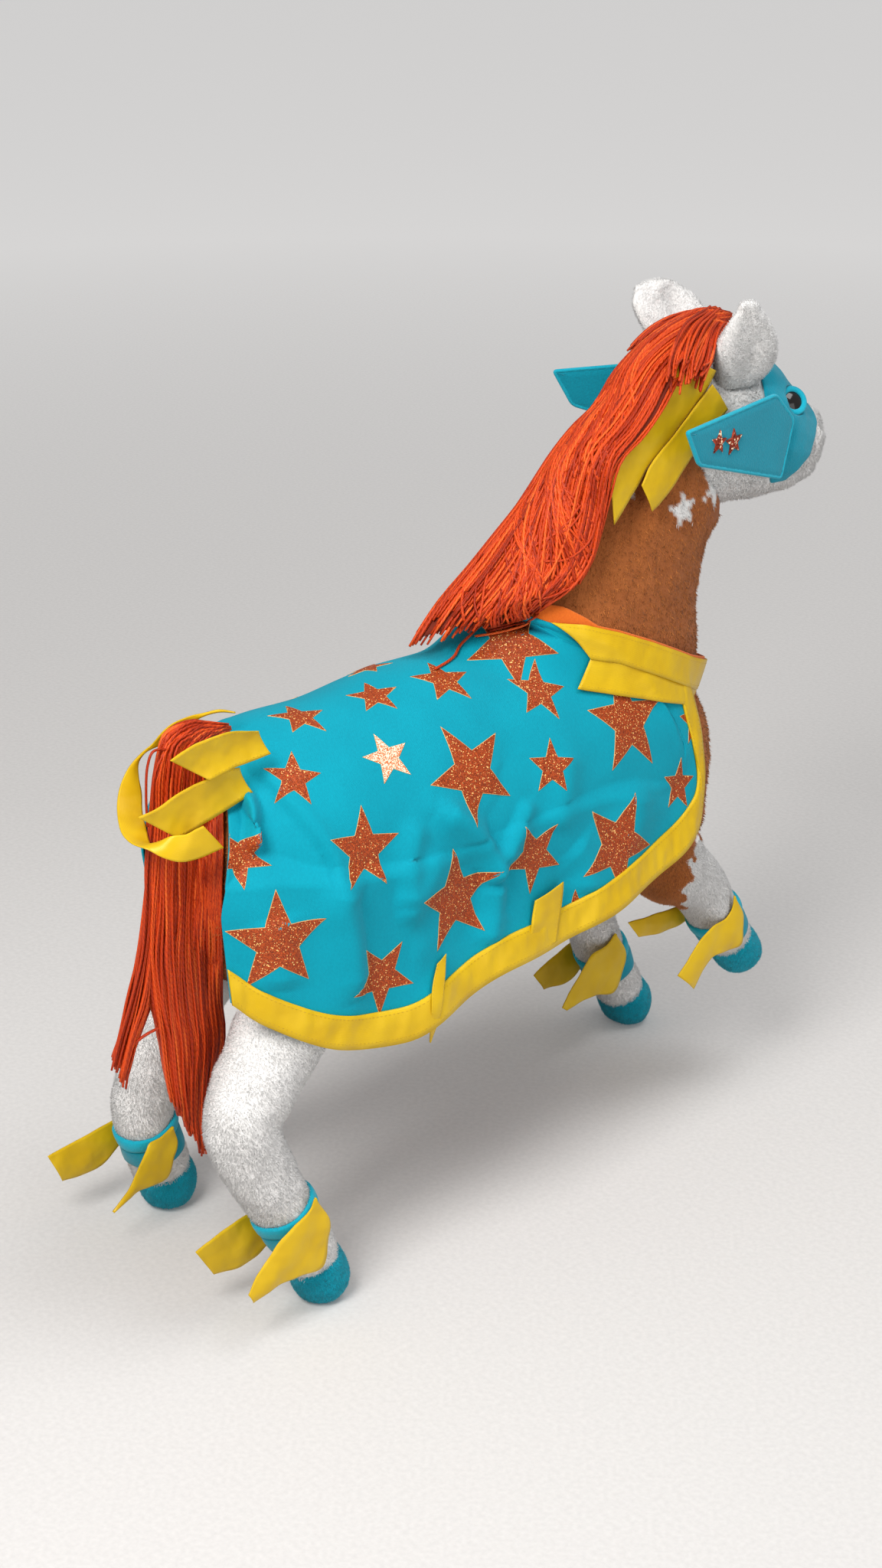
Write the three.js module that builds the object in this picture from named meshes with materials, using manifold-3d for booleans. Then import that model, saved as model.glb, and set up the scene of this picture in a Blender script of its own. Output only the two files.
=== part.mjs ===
// A stuffed toy horse dressed for a show: plush body, head and bendable legs, a starred rug with a satin hem,
// a mask with side flaps, yarn mane and tail, and satin ribbons.
// Lengths are millimetres and +Z is up. The horse faces -Y, and its own left is +X.
import * as THREE from 'three';
import { mergeVertices } from 'three/addons/utils/BufferGeometryUtils.js';
import Module from 'manifold-3d';

const wasm = await Module();
wasm.setup();

// Driving dimensions
const backHeight = 350; // floor to the top of the back
const bodyLength = 440; // rump to chest
const barrelWidth = 150;
const legSpread = 148; // between the middles of the hind hooves
const headHeight = 402; // floor to the joint between neck and head
const headLength = 104; // turning axis to the nose
const headWidth = 84;
const headDepth = 112;
const headReach = 385; // hind hooves to the turning axis of the head
const headTurn = THREE.MathUtils.degToRad(15); // the head looks to its right at rest
const seamGap = 0.4; // clearance between neighbouring pieces
const turnGap = 0.5; // clearance round a turning piece
const cutOverrun = 60; // how far a cutting solid runs past what it cuts

// Legs
const hipRadius = 31;
const shoulderRadius = 30;
const legForward = THREE.MathUtils.degToRad(12); // how far a leg swings to the front, at hip and shoulder
const hipBack = THREE.MathUtils.degToRad(8); // how far a hind leg swings to the back
const shoulderBack = THREE.MathUtils.degToRad(12);
const swingGap = 0.8; // clearance round a leg's swing
const soleCut = 1.4; // depth of the flat under a hoof
const wireRadius = 1.3;
const wireGap = 0.35;
const wireInset = 16; // from a wire's end to the skin beyond it
const cuffWidth = 25;
const cuffThickness = 2.2;
const hoofHeight = 24;

// Cloth and ribbons
const rugThickness = 2.4;
const rugRise = 0.9; // rug clear of the torso
const rugHalfWidth = 83; // middle to the hem at the side
const rugSlip = 20; // the rug has slipped: its left corner sits this much further forward than its right
const foldDepth = 5;
const bindingWidth = 21;
const bindingThickness = 1.2;
const ribbonThickness = 0.9;
const legRibbonWidth = 16;
const maneRibbonWidth = 19;
const tailRibbonWidth = 17;
const collarWidth = 17;
const collarTilt = THREE.MathUtils.degToRad(24);
const liningThickness = 1.6;
const collarThickness = 1.2;

// Mask and flaps
const maskThickness = 2.4;
const flapLength = 116;
const flapHeight = 60;
const flapThickness = 3.6;
const flapCorner = 3;
const flapSlope = Math.atan(0.389); // how far a flap stands out from the cheek
const gemRadius = 8;
const gemThickness = 1.6;
const eyeRadius = 7;
const eyeHoleRadius = 10.5;

// Colours
const finish = {
  brown: { color: 0x9c4a1c, roughness: 0.95 },
  white: { color: 0xf1efec, roughness: 0.95 },
  turquoise: { color: 0x0a9fb8, roughness: 0.8 },
  yellow: { color: 0xe6b91a, roughness: 0.35 },
  yarn: { color: 0xc8401a, roughness: 0.8 },
  orange: { color: 0xe06a1c, roughness: 0.6 },
  gem: { color: 0xb5481f, roughness: 0.3 },
  eye: { color: 0x101010, roughness: 0.1 },
  steel: { color: 0x9a9da0, roughness: 0.4, metalness: 1 },
};

const horse = new THREE.Group();
const X = new THREE.Vector3(1, 0, 0);
const Y = new THREE.Vector3(0, 1, 0);
const Z = new THREE.Vector3(0, 0, 1);

// Closed skins

function closedSkin(rings) {
  const count = rings[0].length;
  const points = rings.flat();
  const faces = [];
  for (let r = 0; r + 1 < rings.length; r += 1) {
    for (let i = 0; i < count; i += 1) {
      const a = r * count + i;
      const b = r * count + ((i + 1) % count);
      faces.push(a, b, b + count, a, b + count, a + count);
    }
  }
  const ends = [rings[0], rings[rings.length - 1]];
  ends.forEach((ring, e) => {
    const middle = ring.reduce((sum, p) => sum.add(p), new THREE.Vector3()).divideScalar(count);
    points.push(middle);
    const start = e === 0 ? 0 : (rings.length - 1) * count;
    for (let i = 0; i < count; i += 1) {
      const a = start + i;
      const b = start + ((i + 1) % count);
      if (e === 0) faces.push(b, a, points.length - 1);
      else faces.push(a, b, points.length - 1);
    }
  });
  const geometry = new THREE.BufferGeometry().setFromPoints(points);
  geometry.setIndex(faces);
  if (enclosed(geometry) < 0) {
    for (let f = 0; f < faces.length; f += 3) [faces[f], faces[f + 1]] = [faces[f + 1], faces[f]];
    geometry.setIndex(faces);
  }
  return geometry;
}

function enclosed(geometry) {
  const place = geometry.attributes.position;
  const index = geometry.index;
  const [a, b, c] = [new THREE.Vector3(), new THREE.Vector3(), new THREE.Vector3()];
  let sum = 0;
  for (let f = 0; f < index.count; f += 3) {
    [a, b, c].forEach((p, k) => p.fromBufferAttribute(place, index.getX(f + k)));
    sum += a.dot(b.cross(c));
  }
  return sum;
}

// A stuffed form: rings round a middle line, with a dome over each end. Each station holds the middle, the half
// width across the horse and the half depth square to both. Grow swells the form all round.
function stuffedForm(stations, { sides, steps, domes, grow = 0, across = X, power = 1 }) {
  const line = new THREE.CatmullRomCurve3(stations.map((s) => s.middle), false, 'centripetal');
  const size = new THREE.CatmullRomCurve3(
    stations.map((s) => new THREE.Vector3(s.width, s.depth, 0)), false, 'catmullrom', 0.5);
  const rings = [];
  const ring = (middle, along, width, depth) => {
    const up = new THREE.Vector3().crossVectors(across, along).normalize();
    const points = [];
    for (let i = 0; i < sides; i += 1) {
      const angle = (2 * Math.PI * i) / sides;
      points.push(middle.clone()
        .addScaledVector(across, width * Math.cos(angle))
        .addScaledVector(up, depth * Math.sin(angle)));
    }
    return points;
  };
  const dome = (t, length, sign) => {
    const middle = line.getPoint(t);
    const along = line.getTangent(t);
    const half = size.getPoint(t);
    const list = [];
    for (let k = 1; k <= domes; k += 1) {
      const angle = (Math.PI / 2) * (k / (domes + 0.35));
      const out = middle.clone().addScaledVector(along, sign * (length + grow) * Math.sin(angle));
      const shrink = Math.cos(angle);
      list.push(ring(out, along, (half.x + grow) * shrink, (half.y + grow) * shrink ** power));
    }
    return list;
  };
  rings.push(...dome(0, stations[0].dome, -1).reverse());
  for (let k = 0; k <= steps; k += 1) {
    const t = k / steps;
    const half = size.getPoint(t);
    rings.push(ring(line.getPoint(t), line.getTangent(t), half.x + grow, half.y + grow));
  }
  rings.push(...dome(1, stations[stations.length - 1].dome, 1));
  return closedSkin(rings);
}

// A flat strip, such as a ribbon: stations hold the middle of the strip and half its width as a vector
function strip(stations, thickness) {
  const rings = stations.map((s, i) => {
    const before = stations[Math.max(i - 1, 0)].middle;
    const after = stations[Math.min(i + 1, stations.length - 1)].middle;
    const along = after.clone().sub(before);
    const face = new THREE.Vector3().crossVectors(along, s.half).normalize().multiplyScalar(thickness / 2);
    return [
      s.middle.clone().sub(s.half).sub(face),
      s.middle.clone().add(s.half).sub(face),
      s.middle.clone().add(s.half).add(face),
      s.middle.clone().sub(s.half).add(face),
    ];
  });
  return closedSkin(rings);
}

// A closed ring turned about a vertical line at x, y from pairs of radius and height
function turned(profile, x, y, sides) {
  const geometry = new THREE.LatheGeometry(profile.map(([r, z]) => new THREE.Vector2(r, z)), sides);
  geometry.rotateX(Math.PI / 2);
  geometry.translate(x, y, 0);
  return geometry;
}

// Joining and cutting

function solidOf(geometry) {
  const plain = geometry.clone();
  ['normal', 'uv'].forEach((name) => plain.deleteAttribute(name));
  const merged = mergeVertices(plain, 1e-4);
  if (enclosed(merged) < 0) {
    const index = merged.index.array;
    for (let f = 0; f < index.length; f += 3) [index[f], index[f + 1]] = [index[f + 1], index[f]];
  }
  return new wasm.Manifold(new wasm.Mesh({
    numProp: 3,
    vertProperties: new Float32Array(merged.attributes.position.array),
    triVerts: new Uint32Array(merged.index.array),
  }));
}

function geometryOf(solid) {
  const mesh = solid.getMesh();
  const geometry = new THREE.BufferGeometry();
  geometry.setAttribute('position', new THREE.BufferAttribute(new Float32Array(mesh.vertProperties), mesh.numProp));
  geometry.setIndex(Array.from(mesh.triVerts));
  return geometry;
}

// The largest body that is left of a geometry after the tools have been cut from it
function trimmed(geometry, tools, keep = []) {
  let solid = solidOf(geometry);
  keep.forEach((tool) => { solid = solid.intersect(solidOf(tool)); });
  tools.forEach((tool) => { solid = solid.subtract(solidOf(tool)); });
  const bodies = solid.decompose();
  bodies.sort((a, b) => b.volume() - a.volume());
  return geometryOf(bodies[0]);
}

function addPiece(name, geometry, look) {
  const flat = geometry.index ? geometry.toNonIndexed() : geometry;
  flat.computeVertexNormals();
  const mesh = new THREE.Mesh(flat, new THREE.MeshStandardMaterial(look));
  mesh.name = name;
  horse.add(mesh);
  return mesh;
}

// A finished piece, for cutting the pieces that lie against it
const solidGeometry = (name) => horse.getObjectByName(name).geometry;

const point = (x, y, z) => new THREE.Vector3(x, y, z);
const mirrorSides = [['right', -1], ['left', 1]];

// Torso: place along the body, height of the middle, half width, half depth, and sideways bend
const torsoShares = [
  [0.04, 0.8, 0.32, 0.148, -0.06],
  [-0.03, 0.775, 0.43, 0.226, -0.06],
  [-0.16, 0.752, 0.48, 0.246, -0.055],
  [-0.34, 0.75, 0.493, 0.248, -0.04],
  [-0.52, 0.742, 0.487, 0.248, -0.025],
  [-0.68, 0.71, 0.453, 0.258, -0.01],
  [-0.785, 0.69, 0.393, 0.25, 0],
  [-0.84, 0.692, 0.3, 0.185, 0],
];
const torsoStations = torsoShares.map(([along, height, width, depth, bend]) => ({
  middle: point(bend * barrelWidth, along * bodyLength, height * backHeight),
  width: width * barrelWidth,
  depth: depth * backHeight,
  dome: bodyLength * 0.042,
}));
const torsoForm = (grow) => stuffedForm(torsoStations, { sides: 20, steps: 11, domes: 2, grow });

// Neck: rings that reach from the crest to the throat, as shares of the head's reach and height
const neckShares = [
  [[-0.39, 0.84], [-1.0, 0.6], 0.36],
  [[-0.514, 0.9], [-1.04, 0.745], 0.335],
  [[-0.631, 1.0], [-1.035, 0.853], 0.30],
  [[-0.748, 1.105], [-1.044, 0.93], 0.272],
  [[-0.865, 1.2], [-1.072, 0.985], 0.252],
];
const neckStations = neckShares.map(([crest, throat, width]) => {
  const back = point(0, crest[0] * headReach, crest[1] * headHeight);
  const front = point(0, throat[0] * headReach, throat[1] * headHeight);
  return {
    middle: back.clone().add(front).multiplyScalar(0.5),
    width: width * barrelWidth,
    depth: back.distanceTo(front) / 2,
    dome: headHeight * 0.07,
    up: front.clone().sub(back).normalize(),
  };
});

// The neck's rings keep the planes that its stations give, so they fan out from the throat
function neckForm(grow) {
  const sides = 20;
  const steps = 8;
  const back = new THREE.CatmullRomCurve3(neckStations.map((s) => s.middle.clone().addScaledVector(s.up, -s.depth)));
  const front = new THREE.CatmullRomCurve3(neckStations.map((s) => s.middle.clone().addScaledVector(s.up, s.depth)));
  const half = new THREE.CatmullRomCurve3(neckStations.map((s) => point(s.width, 0, 0)));
  const rings = [];
  for (let k = 0; k <= steps; k += 1) {
    const [a, b] = [back.getPoint(k / steps), front.getPoint(k / steps)];
    const middle = a.clone().add(b).multiplyScalar(0.5);
    const up = b.clone().sub(a).normalize();
    const depth = a.distanceTo(b) / 2 + grow;
    const width = half.getPoint(k / steps).x + grow;
    rings.push(Array.from({ length: sides }, (_, i) => {
      const angle = (2 * Math.PI * i) / sides;
      return middle.clone().addScaledVector(X, width * Math.cos(angle)).addScaledVector(up, depth * Math.sin(angle));
    }));
  }
  return closedSkin(rings);
}

// The head turns about an upright axis, so its seat in the neck is round
const axis = point(0, -headReach, 0);
const skullRadius = headWidth / 2;
const headRoom = turned([
  [0, headHeight], [skullRadius + turnGap, headHeight],
  [skullRadius + turnGap, headHeight + headDepth + cutOverrun], [0, headHeight + headDepth + cutOverrun],
], axis.x, axis.y, 48);
const throatRoom = new THREE.BoxGeometry(headWidth + cutOverrun, headLength, headDepth + cutOverrun);
throatRoom.translate(0, -headReach - headLength / 2, headHeight + (headDepth + cutOverrun) / 2);
const neckPad = turned([
  [0, headHeight - cutOverrun], [headLength * 0.56, headHeight - cutOverrun],
  [headLength * 0.56, headHeight + turnGap], [0, headHeight + turnGap],
], axis.x, axis.y, 48);

// Limbs: each leg hangs from a round head that turns in the torso. Places are across, along and height.
const legPath = (side, path) => path.map(([across, along, height, radius]) => [
  side * across * legSpread, along * bodyLength, height * backHeight, radius,
]);
const legs = {
  hind_right: {
    radius: hipRadius,
    cuff: 1.6,
    path: legPath(-1, [
      [0.345, -0.057, 0.634, 0.97], [0.365, -0.007, 0.53, 0.9], [0.41, 0.068, 0.43, 0.79], [0.432, 0.093, 0.385, 0.72],
      [0.446, 0.066, 0.274, 0.655], [0.46, 0.042, 0.214, 0.6], [0.48, 0.011, 0.131, 0.57], [0.5, -0.017, 0.05, 0.535],
    ]),
  },
  hind_left: {
    radius: hipRadius,
    cuff: 1.35,
    path: legPath(1, [
      [0.24, -0.07, 0.634, 0.92], [0.29, -0.045, 0.53, 0.8], [0.39, -0.008, 0.41, 0.72], [0.46, 0.018, 0.334, 0.65],
      [0.486, 0.027, 0.268, 0.63], [0.493, 0.031, 0.197, 0.6], [0.495, 0.014, 0.123, 0.58], [0.5, -0.008, 0.05, 0.565],
    ]),
  },
  front_left: {
    radius: shoulderRadius,
    cuff: 1.65,
    path: legPath(1, [
      [0.31, -0.732, 0.614, 0.97], [0.335, -0.76, 0.5, 0.85], [0.35, -0.79, 0.4, 0.72], [0.36, -0.815, 0.31, 0.61],
      [0.364, -0.836, 0.23, 0.575], [0.365, -0.865, 0.163, 0.57], [0.365, -0.892, 0.1, 0.58], [0.365, -0.916, 0.05, 0.585],
    ]),
  },
  front_right: {
    radius: shoulderRadius,
    cuff: 1.2,
    path: legPath(-1, [
      [0.31, -0.75, 0.606, 0.97], [0.345, -0.782, 0.52, 0.77], [0.36, -0.805, 0.47, 0.645], [0.365, -0.823, 0.43, 0.59],
      [0.365, -0.843, 0.394, 0.56], [0.365, -0.865, 0.355, 0.54], [0.365, -0.89, 0.31, 0.525], [0.365, -0.907, 0.28, 0.515],
    ]),
  },
};
const standingLegs = ['hind_right', 'hind_left', 'front_left'];

function legForm(leg, grow, part = leg.path.length) {
  const stations = leg.path.slice(0, part).map(([x, y, z, share]) => (
    { middle: point(x, y, z), width: share * leg.radius, depth: share * leg.radius, dome: leg.radius }));
  stations[stations.length - 1].dome = stations[stations.length - 1].width;
  return stuffedForm(stations, { sides: 14, steps: part + 1, domes: 2, grow });
}

// A leg's form turned about its hip, from front to back
const turnedAtHip = (leg, geometry, angle) => {
  const [x, y, z] = leg.path[0];
  const copy = geometry.clone();
  copy.translate(-x, -y, -z);
  copy.rotateX(angle);
  copy.translate(x, y, z);
  return copy;
};
// The room that the top of a leg needs for its swing
function legRoom(leg, grow) {
  const top = legForm(leg, grow + swingGap, 4);
  const turns = [-legForward, -legForward / 2, 0, leg.back / 2, leg.back];
  return geometryOf(wasm.Manifold.hull(turns.map((angle) => solidOf(turnedAtHip(leg, top, angle)))));
}
// Every place that a leg passes through, as a row of copies
function legSweep(leg, grow) {
  const whole = legForm(leg, grow);
  const steps = 5;
  return Array.from({ length: steps + 1 }, (_, k) => (
    turnedAtHip(leg, whole, -legForward + ((leg.back + legForward) * k) / steps)));
}

// A rod along a route of points, used for wires and for the bores that hold them
function rod(points, radius, sides, steps) {
  const outline = new THREE.Shape();
  for (let i = 0; i < sides; i += 1) {
    const angle = (2 * Math.PI * i) / sides;
    if (i === 0) outline.moveTo(radius, 0);
    else outline.lineTo(radius * Math.cos(angle), radius * Math.sin(angle));
  }
  outline.closePath();
  return new THREE.ExtrudeGeometry(outline, { steps, bevelEnabled: false, extrudePath: new THREE.CatmullRomCurve3(points) });
}

const slab = (centre, normal, thickness, reach) => {
  const box = new THREE.BoxGeometry(reach, reach, thickness);
  box.applyQuaternion(new THREE.Quaternion().setFromUnitVectors(Z, normal.clone().normalize()));
  box.translate(centre.x, centre.y, centre.z);
  return box;
};

for (const [name, leg] of Object.entries(legs)) {
  leg.stands = standingLegs.includes(name);
  leg.back = name.startsWith('hind') ? hipBack : shoulderBack;
  leg.side = Math.sign(leg.path[0][0]);
  leg.hip = point(...leg.path[0]);
  leg.end = point(...leg.path[leg.path.length - 1]);
  leg.endRadius = leg.path[leg.path.length - 1][3] * leg.radius;
  leg.line = new THREE.CatmullRomCurve3(leg.path.map(([x, y, z]) => point(x, y, z)), false, 'centripetal');
}
// The standing legs are stretched at the hoof so that each reaches the floor
for (const leg of Object.values(legs)) {
  if (leg.stands) {
    const last = leg.path[leg.path.length - 1];
    for (let k = 0; k < 3; k += 1) {
      const form = legForm(leg, 0);
      form.computeBoundingBox();
      last[2] -= form.boundingBox.min.z + soleCut;
    }
    leg.end.setZ(last[2]);
    leg.line = new THREE.CatmullRomCurve3(leg.path.map(([x, y, z]) => point(x, y, z)), false, 'centripetal');
  }
}
const floorBelow = new THREE.BoxGeometry(bodyLength * 2, bodyLength * 4, cutOverrun);
floorBelow.translate(0, 0, -cutOverrun / 2);

// Body pieces that do not turn

const legRooms = Object.values(legs).map((leg) => legRoom(leg, seamGap));
const spineEnds = [
  point(0, torsoStations[1].middle.y, torsoStations[1].middle.z),
  point(0, torsoStations[3].middle.y, torsoStations[3].middle.z),
  point(0, torsoStations[5].middle.y, torsoStations[5].middle.z),
  neckStations[1].middle,
  neckStations[3].middle,
  point(0, -headReach, headHeight - wireInset),
];
const spineBore = rod(spineEnds, wireRadius + wireGap, 6, 14);
const torso = trimmed(torsoForm(0), [...legRooms, spineBore]);
addPiece('torso', torso, finish.brown);
const neck = trimmed(neckForm(0), [torsoForm(seamGap), headRoom, throatRoom, spineBore]);
addPiece('neck', neck, finish.brown);
addPiece('spine_wire', rod(spineEnds, wireRadius, 6, 14), finish.steel);

// Legs with their wires, hooves, cuffs and ribbons

// Places on a leg, measured along it from the middle of the hoof
const placeOn = (leg, distance) => {
  const t = 1 - distance / leg.line.getLength();
  return { centre: leg.line.getPointAt(t), along: leg.line.getTangentAt(t) };
};
const radiusAt = (leg, place) => {
  const near = leg.path.map(([x, y, z, share]) => [point(x, y, z).distanceTo(place), share * leg.radius]);
  near.sort((a, b) => a[0] - b[0]);
  return (near[0][1] * near[1][0] + near[1][1] * near[0][0]) / (near[0][0] + near[1][0]);
};
// Ribbon tails tied at each cuff. Places along the body and up, and half the ribbon's width as along and up.
const tailPieces = {
  hind_right: {
    outer: [[0.012, 0.204, 0.01, 0.02], [0.04, 0.152, 0.02, 0.03], [0.085, 0.135, 0.014, 0.028], [0.165, 0.103, 0.004, 0.01]],
    inner: [[0.016, 0.152, 0.012, 0.024], [0.06, 0.138, 0.012, 0.024], [0.11, 0.132, 0.012, 0.024], [0.175, 0.116, 0.015, 0.026]],
  },
  hind_left: {
    outer: [[0.03, 0.17, 0.004, 0.024], [0.07, 0.168, 0.004, 0.025], [0.13, 0.162, 0.006, 0.026], [0.205, 0.146, 0.012, 0.03]],
    inner: [[0.018, 0.182, 0.006, 0.022], [0.05, 0.145, 0.016, 0.032], [0.1, 0.12, 0.012, 0.024], [0.158, 0.08, 0.004, 0.006]],
  },
  front_left: {
    outer: [[-1.07, 0.19, 0.01, 0.024], [-1.03, 0.172, 0.01, 0.026], [-0.985, 0.16, 0.008, 0.024], [-0.93, 0.147, 0.01, 0.02]],
    inner: [[-1.096, 0.208, 0.012, 0.024], [-1.05, 0.155, 0.02, 0.034], [-1, 0.13, 0.012, 0.028], [-0.94, 0.11, 0.004, 0.008]],
  },
  front_right: {
    outer: [[-1.063, 0.42, 0.01, 0.026], [-1.025, 0.37, 0.02, 0.028], [-0.975, 0.335, 0.022, 0.026],
      [-0.915, 0.308, 0.022, 0.022]],
    inner: [[-1.085, 0.362, 0.008, 0.02], [-1.046, 0.371, 0.008, 0.02], [-0.98, 0.372, 0.008, 0.022], [-0.9, 0.378, 0.014, 0.02]],
  },
};

for (const [name, leg] of Object.entries(legs)) {
  const form = legForm(leg, 0);
  const length = leg.line.getLength();
  const hoofCut = placeOn(leg, hoofHeight - leg.endRadius);
  const reach = leg.radius * 6;
  const below = slab(hoofCut.centre.clone().addScaledVector(hoofCut.along, cutOverrun / 2), hoofCut.along, cutOverrun, reach);
  const above = slab(
    hoofCut.centre.clone().addScaledVector(hoofCut.along, -length / 2 - cutOverrun / 2 + seamGap),
    hoofCut.along, length + cutOverrun, length * 2);
  const span = 1 - (wireInset + hoofHeight - leg.endRadius) / length;
  const wireRoute = [0.02, 0.25, 0.5, 0.75, 1].map((share) => leg.line.getPointAt(share * span));
  const wireEntry = [wireRoute[0].clone().setX(leg.hip.x - leg.side * leg.radius * 1.5), wireRoute[0]];
  const bore = rod(wireRoute, wireRadius + wireGap, 6, 6);
  const entry = rod(wireEntry, wireRadius + wireGap, 6, 2);
  addPiece(`leg_${name}`, trimmed(form, [below, bore, entry, floorBelow]), finish.white);
  addPiece(`hoof_${name}`, trimmed(form, [above, floorBelow]), finish.turquoise);
  addPiece(`leg_wire_${name}`, rod(wireRoute, wireRadius, 6, 6), finish.steel);

  const cuff = placeOn(leg, leg.cuff * leg.radius);
  const cuffSlab = slab(cuff.centre, cuff.along, cuffWidth, reach);
  addPiece(`cuff_${name}`, trimmed(legForm(leg, seamGap + cuffThickness), [legForm(leg, seamGap)], [cuffSlab]),
    finish.turquoise);

  const clear = radiusAt(leg, cuff.centre) + seamGap * 2 + cuffThickness + ribbonThickness / 2;
  for (const [label, out] of [['outer', leg.side], ['inner', -leg.side]]) {
    const stations = tailPieces[name][label].map(([along, up, halfAlong, halfUp], i) => ({
      middle: point(cuff.centre.x + out * (clear + i * seamGap), along * backHeight, up * backHeight),
      half: point(0, halfAlong * backHeight, halfUp * backHeight),
    }));
    addPiece(`ribbon_${label}_${name}`, trimmed(strip(stations, ribbonThickness), [
      legForm(leg, seamGap * 2 + cuffThickness),
    ]), finish.yellow);
  }
}

// Rug: a cloth over the back whose sides hang free below the widest part of the torso

const rugSize = new THREE.CatmullRomCurve3(torsoStations.map((s) => point(s.middle.y, s.width, s.depth)));
const rugMiddle = new THREE.CatmullRomCurve3(torsoStations.map((s) => point(s.middle.y, s.middle.z, s.middle.x)));
function torsoAt(y) {
  let [low, high] = [0, 1];
  for (let k = 0; k < 30; k += 1) {
    const mid = (low + high) / 2;
    if (rugMiddle.getPoint(mid).x > y) low = mid;
    else high = mid;
  }
  const size = rugSize.getPoint(low);
  const last = torsoStations[torsoStations.length - 1];
  const past = Math.min(Math.max((last.middle.y - y) / last.dome, 0), 0.95);
  const shrink = Math.sqrt(1 - past * past);
  return {
    middle: rugMiddle.getPoint(low).y, bend: rugMiddle.getPoint(low).z, width: size.y * shrink, depth: size.z * shrink,
  };
}
// The hem, from the rear corner to the front edge: place along, height, and distance from the middle
const hemShares = [
  [0.11, 0.62, 0.66], [0.066, 0.571, 0.8], [-0.03, 0.5, 0.95], [-0.13, 0.474, 1.0], [-0.22, 0.49, 1.0],
  [-0.32, 0.524, 1.0], [-0.42, 0.522, 1.0], [-0.535, 0.527, 1.0], [-0.64, 0.567, 1.0], [-0.725, 0.63, 0.93],
  [-0.8, 0.69, 0.78], [-0.85, 0.745, 0.59], [-0.875, 0.8, 0.42],
];
// The top line of the rug, from the tail to the front of the chest
const ridgeShares = [0.015, -0.045, -0.11, -0.17, -0.24, -0.32, -0.42, -0.53, -0.63, -0.71, -0.78, -0.83, -0.86];
const hemLine = new THREE.CatmullRomCurve3(hemShares.map(([along, height, out]) => (
  point(out * rugHalfWidth, along * bodyLength, height * backHeight))));
const ridgeLine = new THREE.CatmullRomCurve3(ridgeShares.map((along) => {
  const torsoHere = torsoAt(along * bodyLength);
  return point(0, along * bodyLength, torsoHere.middle + torsoHere.depth);
}));

const rugColumns = 20;
const rugHalfRows = 9;
const spread = (u) => 1 - (1 - Math.min(1, u / 0.62)) ** 1.35;

// A place on the rug: v runs from tail to chest, u from the ridge at 0 to the hem at 1, side is -1 or 1
function rugPlace(v, u, side) {
  const hem = hemLine.getPoint(v);
  const ridge = ridgeLine.getPoint(v);
  const here = torsoAt(ridge.y + (hem.y - ridge.y) * spread(u));
  const clear = rugRise + rugThickness / 2;
  const widest = Math.max(here.width + clear, hem.x * 0.93 * Math.min(1, u * 2));
  const quarter = 0.52; // share of the cloth that lies over the back
  const slip = side > 0 ? rugSlip * u * (1 - v) ** 2 : 0;
  const y = ridge.y + (hem.y - ridge.y) * spread(u) - slip;
  let [x, z] = [0, 0];
  const top = here.middle + here.depth + clear;
  const low = Math.max(here.middle, hem.z + (top - hem.z) * 0.3);
  if (u < quarter) {
    const angle = (Math.PI / 2) * (u / quarter);
    x = widest * Math.sin(angle);
    z = low + (top - low) * Math.cos(angle);
  } else {
    const down = (u - quarter) / (1 - quarter);
    x = widest + (hem.x - widest) * down * down;
    z = low + (hem.z - low) * down;
    const wave = 0.5 + 0.5 * Math.cos(2 * Math.PI * (v * 6.5 + 0.2 * down));
    x += foldDepth * wave * down * Math.min(1, (1 - v) * 5);
  }
  return point(here.bend + side * x, y, z);
}
function rugOffset(v, u, side, offset) {
  const step = 0.004;
  const along = rugPlace(Math.min(v + step, 1), u, side).sub(rugPlace(Math.max(v - step, 0), u, side));
  const down = rugPlace(v, Math.min(u + step, 1), side).sub(rugPlace(v, Math.max(u - step, 0), side));
  const out = new THREE.Vector3().crossVectors(along, down).normalize().multiplyScalar(side);
  if (u === 0) out.set(0, 0, 1);
  return rugPlace(v, u, side).addScaledVector(out, offset);
}
function rugShell(more = 0) {
  const columns = rugColumns;
  const halfRows = rugHalfRows;
  const rings = [];
  for (let c = 0; c <= columns; c += 1) {
    const v = c / columns;
    const outer = [];
    const inner = [];
    for (let r = -halfRows; r <= halfRows; r += 1) {
      const u = Math.abs(r) / halfRows;
      const side = r < 0 ? -1 : 1;
      outer.push(rugOffset(v, u, side, rugThickness / 2 + more));
      inner.push(rugOffset(v, u, side, -rugThickness / 2 - more));
    }
    rings.push([...outer, ...inner.reverse()]);
  }
  return ringStack(rings);
}
// Like closedSkin, but the flat ends are closed across from edge to edge, for thin cloth
function ringStack(rings) {
  const count = rings[0].length;
  const half = count / 2;
  const points = rings.flat();
  const faces = [];
  for (let r = 0; r + 1 < rings.length; r += 1) {
    for (let i = 0; i < count; i += 1) {
      const a = r * count + i;
      const b = r * count + ((i + 1) % count);
      faces.push(a, b, b + count, a, b + count, a + count);
    }
  }
  [0, rings.length - 1].forEach((r, e) => {
    for (let i = 0; i + 1 < half; i += 1) {
      const [a, b] = [r * count + i, r * count + i + 1];
      const [c, d] = [r * count + count - 1 - i, r * count + count - 2 - i];
      if (e === 0) faces.push(b, a, c, b, c, d);
      else faces.push(a, b, c, b, d, c);
    }
  });
  const geometry = new THREE.BufferGeometry().setFromPoints(points);
  geometry.setIndex(faces);
  if (enclosed(geometry) < 0) {
    for (let f = 0; f < faces.length; f += 3) [faces[f], faces[f + 1]] = [faces[f + 1], faces[f]];
    geometry.setIndex(faces);
  }
  return geometry;
}
const collarStack = seamGap + liningThickness + seamGap + collarThickness + seamGap;
const legsClear = Object.values(legs).flatMap((leg) => legSweep(leg, seamGap * 2));
const rug = trimmed(rugShell(), [torsoForm(seamGap), neckForm(collarStack), ...legsClear]);
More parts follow.
